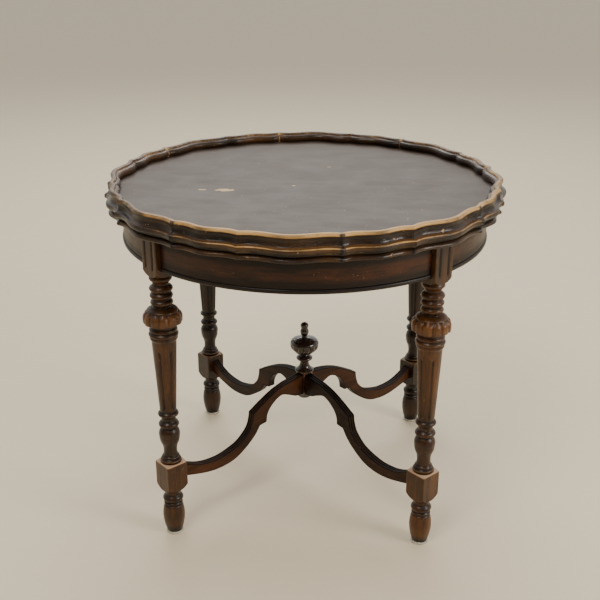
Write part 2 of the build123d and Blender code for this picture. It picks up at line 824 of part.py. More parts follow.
# ---- The drum and its fittings ----
frame_hinge_screws = hinge_screw_set(False)
strike_screws = strike_screw_set()
strike = strike_plate()
for hole in strike_screws:
    strike -= hole
write("strike_plate", strike)
write("strike_screws", Compound(children=strike_screws))
for name, side in apron_sides().items():
    if name == "back":
        for cut in hinge_seats(False) + frame_hinge_screws:
            side -= cut
    if name == "front":
        width, thickness, height = STRIKE_PLATE
        seat_low = (-width / 2, -drum_inside - thickness, bolt_z - height / 2)
        side -= block(seat_low, (width / 2, -drum_inside + 2, bolt_z + height / 2))
        hole_end = bolt_tip - BOLT_TRAVEL - 3.0
        side -= along_y(BOLT_RADIUS + BOLT_HOLE_CLEARANCE, hole_end, -drum_inside, 0, bolt_z)
        for hole in strike_screws:
            side -= hole
    write(f"apron_{name}", side)
for name, side in apron_beads().items():
    write(f"apron_bead_{name}", side)
for side, centre in hinge_centres.items():
    leaf = hinge_leaf(centre, False)
    for hole in frame_hinge_screws:
        leaf -= hole
    write(f"hinge_leaf_apron_{side}", leaf)
    write(f"hinge_pin_{side}", along_x(HINGE_PIN_RADIUS, HINGE_WIDTH, centre, hinge_y, hinge_z))
write("hinge_screws_apron", Compound(children=frame_hinge_screws))
write("cross_rail_front", cross_rail(-RAIL_OFFSET))
write("cross_rail_back", cross_rail(RAIL_OFFSET))

# ---- Legs, glides and stretcher ----
one_leg = leg()
one_arm = arm()
block_screws = []
for name, angle in LEG_ANGLES.items():
    placed = at_leg(angle) * one_leg
    for hole in block_screws_at(angle):
        placed -= hole
        block_screws.append(hole)
    write(f"leg_{name}", placed)
    write(f"glide_{name}", at_leg(angle) * glide())
    write(f"corner_block_{name}", corner_block(angle))
    write(f"stretcher_arm_{name}", Rot(0, 0, angle) * one_arm)
write("corner_block_screws", Compound(children=block_screws))
write("stretcher_hub", Rot(0, 0, 45) * hub())
write("finial", finial())
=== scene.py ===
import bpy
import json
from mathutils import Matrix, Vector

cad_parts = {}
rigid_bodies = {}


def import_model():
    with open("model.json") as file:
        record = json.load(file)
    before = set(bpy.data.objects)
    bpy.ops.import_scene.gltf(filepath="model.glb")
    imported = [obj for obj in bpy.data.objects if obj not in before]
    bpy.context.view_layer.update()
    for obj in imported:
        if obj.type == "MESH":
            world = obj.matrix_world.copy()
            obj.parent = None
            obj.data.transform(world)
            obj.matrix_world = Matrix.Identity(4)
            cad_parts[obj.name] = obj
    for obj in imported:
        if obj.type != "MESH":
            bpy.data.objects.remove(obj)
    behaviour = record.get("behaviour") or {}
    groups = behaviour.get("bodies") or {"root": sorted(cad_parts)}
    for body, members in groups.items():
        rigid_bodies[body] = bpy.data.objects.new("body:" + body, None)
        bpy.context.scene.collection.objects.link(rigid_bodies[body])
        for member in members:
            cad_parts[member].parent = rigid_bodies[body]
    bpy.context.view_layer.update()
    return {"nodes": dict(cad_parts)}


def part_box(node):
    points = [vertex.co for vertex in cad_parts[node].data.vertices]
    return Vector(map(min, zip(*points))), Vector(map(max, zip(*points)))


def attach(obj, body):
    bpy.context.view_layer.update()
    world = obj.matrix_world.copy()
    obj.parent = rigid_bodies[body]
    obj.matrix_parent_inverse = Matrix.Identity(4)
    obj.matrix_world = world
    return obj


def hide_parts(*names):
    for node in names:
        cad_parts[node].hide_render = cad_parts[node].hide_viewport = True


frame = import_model()

import json
import math

import bmesh
import bpy
import numpy as np
from mathutils import Matrix, Vector
from mathutils.kdtree import KDTree


# ---- The room ----
# A plain pale floor, air that is bright behind the table and dim in front of it, and three big soft
# lamps: a wide one behind, one high at the left and one low at the right. The camera looks down at
# the table from a little to the right.
EYE = Vector((0.1159, -1.7760, 1.1234))
SIGHT_LINE = Vector((-0.0650, 0.9230, -0.3794))
LENS = 57.55
FLOOR_HALF = 30.0
FLOOR_COLOUR = (0.87, 0.76, 0.57, 1)
AIR_BEHIND = (1.0, 0.98, 0.93, 1)
AIR_IN_FRONT = (0.20, 0.18, 0.15, 1)
AIR_STRENGTH = 0.95
# place, aim, side in metres, power in watts, colour
LAMPS = [
    ((-0.3, 2.6, 3.0), (0, 0, 0.45), 2.4, 64, (1.0, 0.97, 0.91)),
    ((-0.9, -1.9, 3.2), (0, 0, 0.45), 1.2, 42, (1.0, 0.93, 0.82)),
    ((2.5, -1.2, 1.5), (0, 0, 0.4), 1.0, 40, (1.0, 0.95, 0.88)),
]

scene = bpy.context.scene
lens = bpy.data.cameras.new("camera")
lens.lens = LENS
lens.clip_end = 200
camera = bpy.data.objects.new("camera", lens)
camera.location = EYE
camera.rotation_euler = SIGHT_LINE.to_track_quat("-Z", "Y").to_euler()
scene.collection.objects.link(camera)
scene.camera = camera

for number, (place, aim, side, power, colour) in enumerate(LAMPS):
    bulb = bpy.data.lights.new(f"lamp_{number}", "AREA")
    bulb.size = side
    bulb.energy = power
    bulb.color = colour
    lamp = bpy.data.objects.new(f"lamp_{number}", bulb)
    lamp.location = place
    lamp.rotation_euler = (Vector(aim) - Vector(place)).to_track_quat("-Z", "Y").to_euler()
    scene.collection.objects.link(lamp)


def step(tree, kind, sockets=(), **settings):
    """One shader node. Each socket is (name or number, a value or another node's output)."""
    made = tree.nodes.new(kind)
    for key, value in settings.items():
        setattr(made, key, value)
    for name, value in sockets:
        if isinstance(value, bpy.types.NodeSocket):
            tree.links.new(value, made.inputs[name])
        else:
            made.inputs[name].default_value = value
    return made


def empty_finish(name):
    """A new material with its shader node, ready for the rest."""
    finish = bpy.data.materials.new(name)
    finish.use_nodes = True
    tree = finish.node_tree
    return finish, tree, tree.nodes["Principled BSDF"]


def noise(tree, where, stretch, detail=4.0, roughness=0.55, distortion=0.0):
    """Smooth noise from 0 to 1, with stretch features to the metre along each axis."""
    scaled = step(tree, "ShaderNodeMapping", [("Vector", where), ("Scale", stretch)])
    made = step(
        tree,
        "ShaderNodeTexNoise",
        [
            ("Vector", scaled.outputs[0]),
            ("Scale", 1.0),
            ("Detail", detail),
            ("Roughness", roughness),
            ("Distortion", distortion),
        ],
    )
    return made.outputs["Fac"]


def ramp(tree, value, low, high, bottom=0.0, top=1.0):
    """value, eased from bottom at low to top at high."""
    made = step(
        tree,
        "ShaderNodeMapRange",
        [
            ("Value", value),
            ("From Min", low),
            ("From Max", high),
            ("To Min", bottom),
            ("To Max", top),
        ],
        interpolation_type="SMOOTHSTEP",
    )
    return made.outputs["Result"]


def sums(tree, kind, a, b=0.0):
    made = step(tree, "ShaderNodeMath", [(0, a), (1, b)], operation=kind)
    return made.outputs[0]


def mixed(tree, share, a, b, blend="MIX"):
    made = step(
        tree,
        "ShaderNodeMix",
        [(0, share), (6, a), (7, b)],
        data_type="RGBA",
        blend_type=blend,
    )
    return made.outputs[2]


def bumped(tree, height, depth, strength=1.0, before=None):
    sockets = [("Height", height), ("Distance", depth), ("Strength", strength)]
    if before is not None:
        sockets.append(("Normal", before))
    return step(tree, "ShaderNodeBump", sockets).outputs[0]


air = bpy.data.worlds.new("air")
air.use_nodes = True
tree = air.node_tree
compass = step(tree, "ShaderNodeSeparateXYZ", [(0, step(tree, "ShaderNodeTexCoord").outputs["Generated"])])
behind = ramp(tree, compass.outputs[1], -0.7, 0.7)
sky = tree.nodes["Background"]
tree.links.new(mixed(tree, behind, AIR_IN_FRONT, AIR_BEHIND), sky.inputs["Color"])
sky.inputs["Strength"].default_value = AIR_STRENGTH
scene.world = air

floor_mesh = bpy.data.meshes.new("floor")
floor_mesh.from_pydata(
    [(x * FLOOR_HALF, y * FLOOR_HALF, 0) for x, y in ((-1, -1), (1, -1), (1, 1), (-1, 1))],
    [],
    [(0, 1, 2, 3)],
)
floor = bpy.data.objects.new("floor", floor_mesh)
scene.collection.objects.link(floor)
floor_finish, tree, shader = empty_finish("pale_floor")
shader.inputs["Base Color"].default_value = FLOOR_COLOUR
shader.inputs["Roughness"].default_value = 0.7
floor_mesh.materials.append(floor_finish)


# ---- Legs ----
# Four legs, each turned from one square length of walnut that is left square at the stretcher and at
# the drum. The bulb is carved with twelve gadroons and the shaft with six flutes, under old lacquer
# that is worn pale on the turned tops of the front foot blocks.
MM = 0.001
LEG_COLUMNS = 144
BLOCK_HALF = 21.5
BLOCK_EDGE = 40  # the higher, the sharper the upright edges of the blocks
FOOT_BLOCK = (95.5, 157.5)
FOOT_SHOULDER = (16.8, 14.0)  # radius and height of the rounded shoulder under the foot block
POST_SHOULDER = (18.4, 11.5)
POST_BELOW_DRUM = 14.0
BLOCK_TOP_FALL = 4.0  # the turned top of the foot block falls this much to its corners
FLUTE = (2.8, 1.9)  # radius of the gouge and depth of the cut
SHAFT_FLUTES = 6
POST_FLUTE_OFFSET = 10.75
GADROONS = 12
leg_names = ["front_right", "back_right", "back_left", "front_left"]

drum_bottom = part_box("apron_front")[0].z / MM
drum_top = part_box("apron_front")[1].z / MM
glide_top = 4.5

# Each point is (radius, height, swell): the stretch that ends there is straight, or bulges by swell.
FOOT = [
    (14.4, glide_top, 0),
    (20.9, 37.0, 1.2),
    (17.8, 61.5, 1.0),
    (16.2, 62.8, 0),
    (16.2, 64.2, 0),
    (16.4, 69.2, 1.8),
    (15.2, 70.2, 0),
    (15.2, 84.0, 4.2),
    (14.4, 85.0, 0),
    (14.4, 90.0, -0.4),
    (FOOT_SHOULDER[0], FOOT_BLOCK[0], -0.6),
]
SHAFT_BOTTOM = (15.3, 265.0)
BALUSTER = [
    (15.6, FOOT_BLOCK[1], 0),
    (15.4, 165.5, 4.2),
    (14.8, 166.2, 0),
    (14.8, 170.4, 1.9),
    (13.8, 171.2, 0),
    (12.6, 183.0, -0.5),
    (15.6, 196.5, -0.7),
    (19.2, 212.5, 0.9),
    (15.4, 228.5, 1.9),
    (14.4, 229.6, 0),
    (14.4, 230.6, 0),
    (14.4, 243.2, 4.6),
    (13.8, 244.4, 0),
    (13.8, 252.2, -0.5),
    (14.4, 253.2, 0),
    (14.8, 264.2, 4.6),
    (*SHAFT_BOTTOM, 0),
]
# Heights here are measured down from the bottom of the drum.
SHAFT_TOP = (22.4, 141.0)
CAPITAL = [
    (*SHAFT_TOP, 0),
    (23.8, 135.0, -0.5),
    (24.8, 134.2, 0),
    (24.8, 129.4, 0.5),
    (24.6, 128.8, 0),
    (24.4, 121.0, 2.4),
    (23.4, 120.0, 0),
    (23.2, 112.0, 2.2),
    (22.0, 111.0, 0),
    (22.0, 102.6, 0),
    (28.0, 102.5, 0),
    (28.0, 81.0, 0),
    (27.2, 77.5, 0.5),
    (16.2, 73.6, 0.8),
    (15.6, 73.0, 0),
    (15.6, 70.0, -0.3),
    (16.0, 58.5, 4.5),
    (16.2, 57.6, 0),
    (16.4, 45.2, 4.2),
    (16.0, 44.4, 0),
    (15.8, 31.6, 5.2),
    (14.4, 30.8, 0),
    (14.4, 28.6, 0),
    (17.6, 23.4, -0.6),
    (18.2, 22.6, 0),
    (18.6, 14.6, 2.0),
    (POST_SHOULDER[0], POST_BELOW_DRUM, 0),
]
LOBE_TOP = 81.0
LOBE_BOTTOM = 102.5
LOBE_RADIUS = 35.4
LOBE_ARCH = 3.5


def outline(profile, pace=1.1, long_pace=4.0):
    """Closely spaced (radius, height) points along a turned profile."""
    points = [np.array(profile[0][:2], float)]
    for radius, height, swell in profile[1:]:
        start, end = points[-1], np.array((radius, height), float)
        run = np.linalg.norm(end - start)
        straight = swell == 0 and run > 3 * long_pace
        count = max(1, round(run / (long_pace if straight else pace)))
        across = np.array((end[1] - start[1], start[0] - end[0])) / run
        for i in range(1, count + 1):
            t = i / count
            # A circle through both ends that stands out by swell at its middle.
            lift = swell * 4 * t * (1 - t)
            points.append(start + (end - start) * t + across * lift)
    return np.array(points)


def eased(points, share=0.25):
    """Softens the corners of an outline, as coats of lacquer do."""
    soft = points.copy()
    soft[1:-1] = points[1:-1] * (1 - share) + (points[:-2] + points[2:]) * share / 2
    return soft


def smoothstep(value, low, high):
    t = np.clip((value - low) / (high - low), 0, 1)
    return t * t * (3 - 2 * t)


def above_and_below(rows, wrap, passes=8):
    """How far each point of a grid stands proud of its surroundings, in metres."""
    soft = rows.copy()
    for _ in range(passes):
        if wrap:
            left, right = np.roll(soft, 1, 1), np.roll(soft, -1, 1)
        else:
            left = np.concatenate([soft[:, :1], soft[:, :-1]], 1)
            right = np.concatenate([soft[:, 1:], soft[:, -1:]], 1)
        under = np.concatenate([soft[:1], soft[:-1]], 0)
        over = np.concatenate([soft[1:], soft[-1:]], 0)
        soft = (2 * soft + left + right + under + over) / 6
    if wrap:
        along = np.roll(rows, -1, 1) - np.roll(rows, 1, 1)
    else:
        along = np.gradient(rows, axis=1)
    normal = np.cross(along, np.gradient(rows, axis=0))
    normal /= np.maximum(np.linalg.norm(normal, axis=2, keepdims=True), 1e-12)
    return ((rows - soft) * normal).sum(2)


WORN_AT = 0.0013
HOLLOW_AT = 0.0006


def skin(name, rows, wrap, body, finish, replaced, grain=None, tone=0.5, worn=0.0, sharp=38):
    """One piece from a grid of points, with what its finish needs to know at every point: grain is
    the place in the wood, with Z along it, tone is 0 for dark to 1 for pale, and worn and hollow say
    where the finish has rubbed through and where dirt and painted shade lie. Anticlockwise columns and
    rising rows face outward."""
    count, across = rows.shape[:2]
    index = np.arange(count * across).reshape(count, across)
    right = np.roll(index, -1, 1) if wrap else index[:, 1:]
    left = index if wrap else index[:, :-1]
    quads = np.stack([left[:-1], right[:-1], right[1:], left[1:]], -1).reshape(-1, 4)
    faces = quads.tolist()
    if wrap:
        faces += [index[0][::-1].tolist(), index[-1].tolist()]
    mesh = bpy.data.meshes.new(name)
    mesh.from_pydata(rows.reshape(-1, 3).tolist(), [], faces)
    relief = above_and_below(rows, wrap)
    shape = (count, across)
    layers = {
        "tone": np.broadcast_to(tone, shape),
        "worn": np.clip(relief / WORN_AT, 0, 1) + np.broadcast_to(worn, shape),
        # hollow marks the crevices that get dirt and painted shade
        "hollow": np.clip(-relief / HOLLOW_AT, 0, 1),
    }
    for label, values in layers.items():
        layer = mesh.attributes.new(label, "FLOAT", "POINT")
        layer.data.foreach_set("value", np.ascontiguousarray(values, np.float32).ravel())
    place = rows if grain is None else grain
    layer = mesh.attributes.new("grain", "FLOAT_VECTOR", "POINT")
    layer.data.foreach_set("vector", np.ascontiguousarray(place, np.float32).ravel())
    mesh.polygons.foreach_set("use_smooth", [True] * len(mesh.polygons))
    mesh.set_sharp_from_angle(angle=math.radians(sharp))
    mesh.materials.append(finish)
    piece = bpy.data.objects.new(name, mesh)
    scene.collection.objects.link(piece)
    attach(piece, body)
    if replaced:
        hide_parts(*replaced)
    return piece


def lacquered_wood(
    name,
    dark,
    pale,
    bare,
    streaks=0.5,
    gloss=0.3,
    coat=0.15,
    coat_rough=0.18,
    shine=0.3,
    wear=1.0,
    dirt_and_shade_amount=1.0,
    figure=(60, 60, 4),
    crackle=0.0,
    attribute=True,
):
    """Stained wood under old lacquer: long streaks and pores along the grain, cloudy stain, pale wood
    where edges have rubbed through, dark dirt and painted shade in the hollows, and small nicks."""
    finish, tree, shader = empty_finish(name)
    if attribute:
        grain = step(tree, "ShaderNodeAttribute", attribute_name="grain").outputs["Vector"]
    else:
        grain = step(tree, "ShaderNodeTexCoord").outputs["Object"]
    tone = step(tree, "ShaderNodeAttribute", attribute_name="tone").outputs["Fac"]
    worn = step(tree, "ShaderNodeAttribute", attribute_name="worn").outputs["Fac"]
    hollow = step(tree, "ShaderNodeAttribute", attribute_name="hollow").outputs["Fac"]
    if not attribute:
        tone = sums(tree, "ADD", tone, 0.45)

    broad = noise(tree, grain, figure, 5, 0.6, 0.6)
    fine = noise(tree, grain, tuple(f * 7 for f in figure), 3, 0.6)
    cloud = noise(tree, grain, (16, 16, 9), 3, 0.6)
    pores = noise(tree, grain, tuple(f * 26 for f in figure[:2]) + (figure[2] * 34,), 2, 0.5)

    figure_light = sums(tree, "MULTIPLY", sums(tree, "SUBTRACT", broad, 0.5), 1.6 * streaks)
    fine_light = sums(tree, "MULTIPLY", sums(tree, "SUBTRACT", fine, 0.5), 1.1 * streaks)
    cloud_light = sums(tree, "MULTIPLY", sums(tree, "SUBTRACT", cloud, 0.5), 0.8)
    lightness = sums(tree, "ADD", sums(tree, "ADD", tone, figure_light), fine_light)
    lightness = sums(tree, "ADD", lightness, cloud_light)
    colour = mixed(tree, ramp(tree, lightness, 0.0, 1.0), (*dark, 1), (*pale, 1))
    pore_mask = ramp(tree, pores, 0.36, 0.3)
    colour = mixed(tree, sums(tree, "MULTIPLY", pore_mask, 0.45), colour, (*[c * 0.3 for c in dark], 1))

    rub = noise(tree, grain, (55, 55, 40), 5, 0.7)
    rubbed = sums(tree, "ADD", worn, sums(tree, "MULTIPLY", sums(tree, "SUBTRACT", rub, 0.5), 0.9))
    rubbed = sums(tree, "MULTIPLY", ramp(tree, rubbed, 0.3, 0.9), wear)
    colour = mixed(tree, rubbed, colour, (*bare, 1))
    scoured = ramp(tree, sums(tree, "ADD", worn, sums(tree, "MULTIPLY", rub, 0.4)), 1.5, 2.0)
    colour = mixed(tree, scoured, colour, (*[min(c * 1.4 + 0.16, 1.0) for c in bare], 1))
    # Dirt and painted shade: the hollows are darkened towards near black.
    dirt_and_shade = sums(tree, "MULTIPLY", ramp(tree, hollow, 0.05, 0.9), 0.85 * dirt_and_shade_amount)
    colour = mixed(tree, dirt_and_shade, colour, (*[c * 0.16 for c in dark], 1))
    nick = noise(tree, grain, (210, 210, 150), 2, 0.5)
    nick_place = noise(tree, grain, (24, 24, 18), 2, 0.5)
    nicks = sums(tree, "MULTIPLY", ramp(tree, nick, 0.69, 0.72), ramp(tree, nick_place, 0.55, 0.6))
    colour = mixed(tree, sums(tree, "MULTIPLY", nicks, 0.7 * wear), colour, (*bare, 1))
    tree.links.new(colour, shader.inputs["Base Color"])

    smear = noise(tree, grain, (38, 38, 26), 4, 0.65)
    rough = sums(tree, "ADD", sums(tree, "MULTIPLY", sums(tree, "SUBTRACT", smear, 0.5), 0.22), gloss)
    rough = sums(tree, "ADD", rough, sums(tree, "MULTIPLY", rubbed, 0.2))
    rough = sums(tree, "ADD", rough, sums(tree, "MULTIPLY", dirt_and_shade, 0.2))
    tree.links.new(rough, shader.inputs["Roughness"])
    shader.inputs["Coat Weight"].default_value = coat
    shader.inputs["Coat Roughness"].default_value = coat_rough
    shader.inputs["Specular IOR Level"].default_value = shine

    normal = bumped(tree, pores, 0.0003, 0.5)
    normal = bumped(tree, smear, 0.0012, 0.35, normal)
    normal = bumped(tree, nicks, -0.0004, 0.6, normal)
    if crackle:
        cells = step(
            tree,
            "ShaderNodeTexVoronoi",
            [("Vector", grain), ("Scale", 240.0), ("Randomness", 1.0)],
            feature="DISTANCE_TO_EDGE",
        )
        crack = ramp(tree, cells.outputs["Distance"], 0.0, 0.14)
        normal = bumped(tree, crack, 0.0005 * crackle, 0.7, normal)
    tree.links.new(normal, shader.inputs["Normal"])
    return finish


walnut_legs = lacquered_wood(
    "worn_walnut",
    dark=(0.011, 0.0046, 0.0018),
    pale=(0.148, 0.054, 0.013),
    bare=(0.26, 0.132, 0.050),
    streaks=0.5,
    gloss=0.36,
    wear=0.75,
)


def turned_skin(points, columns=LEG_COLUMNS):
    """Rows of a surface turned about Z from (radius, height) points, in millimetres."""
    angle = np.arange(columns) * 2 * math.pi / columns
    radius = points[:, 0][:, None]
    height = np.broadcast_to(points[:, 1][:, None], (len(points), columns))
    return np.stack([radius * np.cos(angle), radius * np.sin(angle), height], -1)


def gouged(across, along, low, high):
    """Depth of a round-ended flute at a distance across it and a place along it."""
    radius, depth = FLUTE
    past = np.maximum(low - along, 0) + np.maximum(along - high, 0)
    reach = np.minimum(np.hypot(across, past), radius)
    return np.maximum(np.sqrt(radius**2 - reach**2) - (radius - depth), 0)


def square_reach(angle):
    """Distance to the side of a unit square with slightly softened corners, at each angle."""
    return (np.abs(np.cos(angle)) ** BLOCK_EDGE + np.abs(np.sin(angle)) ** BLOCK_EDGE) ** (-1 / BLOCK_EDGE)


def square_rows(bottom, top, shoulder, fall=0.0):
    """A square block whose foot is turned away to a rounded shoulder and, where fall is given, whose
    top is turned to a low cone."""
    corner = BLOCK_HALF * math.sqrt(2) + 0.6
    start, pommel = shoulder
    under = outline([(start, bottom, 0), (corner, bottom + pommel, 1.6)], pace=0.9)
    over = [(corner, top - fall), (BLOCK_HALF - 0.3, top)] if fall else [(corner, top)]
    if fall:
        over = outline([(*over[0], 0), (*over[1], 0.25)], pace=0.9)
    middle = [(corner, height) for height in np.linspace(bottom + pommel, top - max(fall, 0.8), 22)[1:]]
    heights, limits = [], []
    for limit, height in [*under, *middle, *over]:
        if not heights or height > heights[-1]:
            heights.append(height)
            limits.append(limit)
    even = np.arange(LEG_COLUMNS) * 2 * math.pi / LEG_COLUMNS
    quarter = np.round(even / (math.pi / 2)) * math.pi / 2
    spread = quarter + np.arctan((even - quarter) / (math.pi / 4))
    rows = []
    for height, limit in zip(heights, limits):
        share = float(smoothstep(height, bottom, bottom + pommel))
        if fall:
            share = share * float(smoothstep(height, top, top - fall))
        angle = even * (1 - share) + spread * share
        radius = np.minimum(BLOCK_HALF * square_reach(angle), limit)
        if height == top and not fall:
            radius = radius - 0.7
        level = np.full(LEG_COLUMNS, height)
        rows.append(np.stack([radius * np.cos(angle), radius * np.sin(angle), level], -1))
    return np.array(rows)


def leg_rows():
    foot = turned_skin(eased(outline(FOOT)))
    capital = [(radius, drum_bottom - down, swell) for radius, down, swell in CAPITAL]
    shaft = turned_skin(eased(outline(BALUSTER + capital)))
    angle = np.arange(LEG_COLUMNS) * 2 * math.pi / LEG_COLUMNS
    height = shaft[..., 2]
    radius = np.hypot(shaft[..., 0], shaft[..., 1])
    # Flutes down the shaft, fading out at the foot.
    pitch = 2 * math.pi / SHAFT_FLUTES
    off = (angle % pitch) - pitch / 2
    top = drum_bottom - SHAFT_TOP[1]
    cut = gouged(off * radius, height, SHAFT_BOTTOM[1] + 9, top - 17)
    radius = radius - cut
    # Gadroons: each has a round face and a round top, and is cut square underneath.
    pitch = 2 * math.pi / GADROONS
    off = ((angle + pitch / 2) % pitch - pitch / 2) / (pitch / 2)
    round_face = np.sqrt(np.maximum(1 - (0.93 * off) ** 2, 0))
    up = height - (drum_bottom - LOBE_BOTTOM)
    crest = LOBE_BOTTOM - LOBE_TOP - LOBE_ARCH * (1 - round_face)
    middle = np.clip(up / crest, 0, 1)
    belly = 1 - (1 - np.sqrt(np.maximum(1 - np.clip((middle - 0.45) / 0.55, 0, 1) ** 2, 0))) * 0.8
    belly = belly * (0.93 + 0.07 * smoothstep(middle, 0.0, 0.35))
    lobe = 26.0 + (LOBE_RADIUS - 26.0) * belly * (0.55 + 0.45 * round_face)
    lobe = np.where((up >= 0) & (up <= crest), lobe, 0)
    bulb = (up >= -0.01) & (up <= LOBE_BOTTOM - LOBE_TOP)
    radius = np.where(bulb, np.maximum(radius, lobe), radius)
    shaft[..., 0], shaft[..., 1] = radius * np.cos(angle), radius * np.sin(angle)

    post = square_rows(drum_bottom - POST_BELOW_DRUM, drum_top, POST_SHOULDER)
    face = post[..., 0] > BLOCK_HALF - 0.9
    cut = np.zeros(post.shape[:2])
    for side in (-1, 1):
        across = post[..., 1] - side * POST_FLUTE_OFFSET
        cut = np.maximum(cut, gouged(across, post[..., 2], drum_bottom + 4, drum_top - 8))
    post[..., 0] -= np.where(face, cut, 0)
    block = square_rows(*FOOT_BLOCK, FOOT_SHOULDER, BLOCK_TOP_FALL)
    return np.concatenate([foot, block, shaft, post])


LEG_TONES = [
    # height, tone
    (4.5, -0.35),
    (12, 0.1),
    (22, 0.5),
    (58, 0.4),
    (66, 0.15),
    (93, 0.18),
    (102, 0.34),
    (152, 0.38),
    (157, 0.45),
    (159, 0.12),
    (210, 0.22),
    (262, 0.16),
    (280, 0.3),
    (400, 0.42),
    (416, 0.3),
    (440, 0.3),
    (444, 0.5),
    (463, 0.62),
    (468, 0.34),
    (515, 0.32),
    (606, 0.3),
]
# One value for each leg, in the order of leg_names: painted shade that darkens the back legs, which stand in
# the shadow of the top, and a little painted light on the front right leg.
LEG_PAINTED_LIGHT_AND_SHADE = (0.06, -0.18, -0.24, 0.0)
FOOT_WEAR = (1.2, 0.4, 0.4, 0.3)
SHOULDER_WEAR = (1.0, 0.3, 0.3, 1.0)
one_leg = leg_rows()
leg_height = one_leg[..., 2]
leg_tone = np.interp(leg_height, *zip(*LEG_TONES))
foot_rub = 0.16 * smoothstep(leg_height, 60, 25) * smoothstep(leg_height, 9, 20)
bulb_rub = -0.55 * smoothstep(leg_height, 438, 441) * smoothstep(leg_height, 466, 463)
block_rub = -0.3 * smoothstep(leg_height, 94, 98) * smoothstep(leg_height, 156, 152)
leg_radius = np.hypot(one_leg[..., 0], one_leg[..., 1])
shoulder_rub = 1.9 * smoothstep(leg_height, FOOT_BLOCK[1] - 4.2, FOOT_BLOCK[1] - 1.6) * (leg_radius > 17.5)
shoulder_rub = shoulder_rub * smoothstep(leg_height, FOOT_BLOCK[1] + 1.0, FOOT_BLOCK[1] + 0.1)


def turned_to(points, angle):
    """Points turned about the upright axis."""
    c, s = math.cos(angle), math.sin(angle)
    x, y = points[..., 0], points[..., 1]
    return np.stack([c * x - s * y, s * x + c * y, points[..., 2]], -1)


for number, name in enumerate(leg_names):
    low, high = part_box(f"glide_{name}")
    middle = (low + high) / 2
    bearing = math.atan2(middle.y, middle.x)
    placed = turned_to(one_leg * MM, bearing) + np.array((middle.x, middle.y, 0))
    skin(
        f"turned_leg_{name}",
        placed,
        True,
        "frame",
        walnut_legs,
        [f"leg_{name}"],
        grain=one_leg * MM + np.array((0.31, 0.17, 0.43)) * (number + 1),
        # painted light and shade for each leg, added to its tone
        tone=leg_tone + LEG_PAINTED_LIGHT_AND_SHADE[number],
        worn=foot_rub * FOOT_WEAR[number] + bulb_rub + block_rub + shoulder_rub * SHOULDER_WEAR[number],
    )


# ---- Glides ----
# A pale nylon disc under each foot, held by one nail, to slide on. It is scuffed grey at its edge.
GLIDE = [(0.2, 0.0, 0), (15.6, 0.0, 0), (16.8, 1.2, 0.35), (16.8, 3.3, 0), (15.6, 4.5, 0.35), (13.0, 4.5, 0)]

nylon, tree, shader = empty_finish("scuffed_nylon")
spot = step(tree, "ShaderNodeTexCoord").outputs["Object"]
scuffs = ramp(tree, noise(tree, spot, (300, 300, 500), 5, 0.7), 0.45, 0.7)
colour = mixed(tree, sums(tree, "MULTIPLY", scuffs, 0.7), (0.62, 0.58, 0.5, 1), (0.2, 0.17, 0.13, 1))
tree.links.new(colour, shader.inputs["Base Color"])
tree.links.new(ramp(tree, scuffs, 0.0, 1.0, 0.42, 0.65), shader.inputs["Roughness"])
tree.links.new(bumped(tree, scuffs, 0.0003, 0.5), shader.inputs["Normal"])

for name in leg_names:
    low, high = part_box(f"glide_{name}")
    middle = (low + high) / 2
    disc = turned_skin(outline(GLIDE, pace=0.6), 64) * MM + np.array((middle.x, middle.y, 0))
    skin(f"foot_glide_{name}", disc, True, "frame", nylon, [f"glide_{name}"])


# ---- Cross stretcher ----
# Four serpentine arms sawn from walnut board, each moulded with three reeds along its upper edge and
# tenoned into the leg block and the hub. Sides red-brown, the reeds nearly black with old polish.
ARM_HALF = 8.0
REED_GROOVE = 1.6
REED_CROWN = 1.3
# Each point is (distance from the middle of the table, height); each run is smooth, with a corner
# where it meets the next.
ARM_TOP = [
    [(12, 233.5), (30, 231), (59, 226.5), (88, 217.5), (116, 204), (142, 189.5)],
    [
        (142, 189.5), (144.5, 174), (153, 155), (177, 135), (211, 124),
        (237, 121.5), (267, 125), (291, 134), (312.8, 146),
    ],
]
ARM_UNDER = [
    [(12, 188.5), (30, 190.5), (49.5, 199.5), (69, 205), (91.7, 193), (105, 176), (108, 158.5)],
    [(108, 158.5), (125, 156.5)],
    [
        (125, 156.5), (138, 139), (159, 121.5), (186, 106),
        (213, 100), (243.5, 100), (276.5, 106.5), (312.8, 117),
    ],
]


def smooth_run(points, pace):
    """Evenly paced points on a smooth curve through the given ones."""
    points = np.array(points, float)
    if len(points) == 2:
        count = max(2, round(np.linalg.norm(points[1] - points[0]) / pace))
        return np.linspace(points[0], points[1], count + 1)
    ends = np.concatenate([[2 * points[0] - points[1]], points, [2 * points[-1] - points[-2]]])
    made = []
    for a, b, c, d in zip(ends[:-3], ends[1:-2], ends[2:-1], ends[3:]):
        count = max(2, round(np.linalg.norm(c - b) / pace))
        for t in np.arange(count) / count:
            made.append(
                0.5
                * (2 * b + (c - a) * t + (2 * a - 5 * b + 4 * c - d) * t**2 + (3 * b - a - 3 * c + d) * t**3)
            )
    made.append(points[-1])
    return np.array(made)


def evenly(line, count):
    """count points spread evenly along a line."""
    gone = np.concatenate([[0], np.cumsum(np.linalg.norm(np.diff(line, axis=0), axis=1))])
    want = np.linspace(0, gone[-1], count)
    return np.stack([np.interp(want, gone, line[:, 0]), np.interp(want, gone, line[:, 1])], -1)


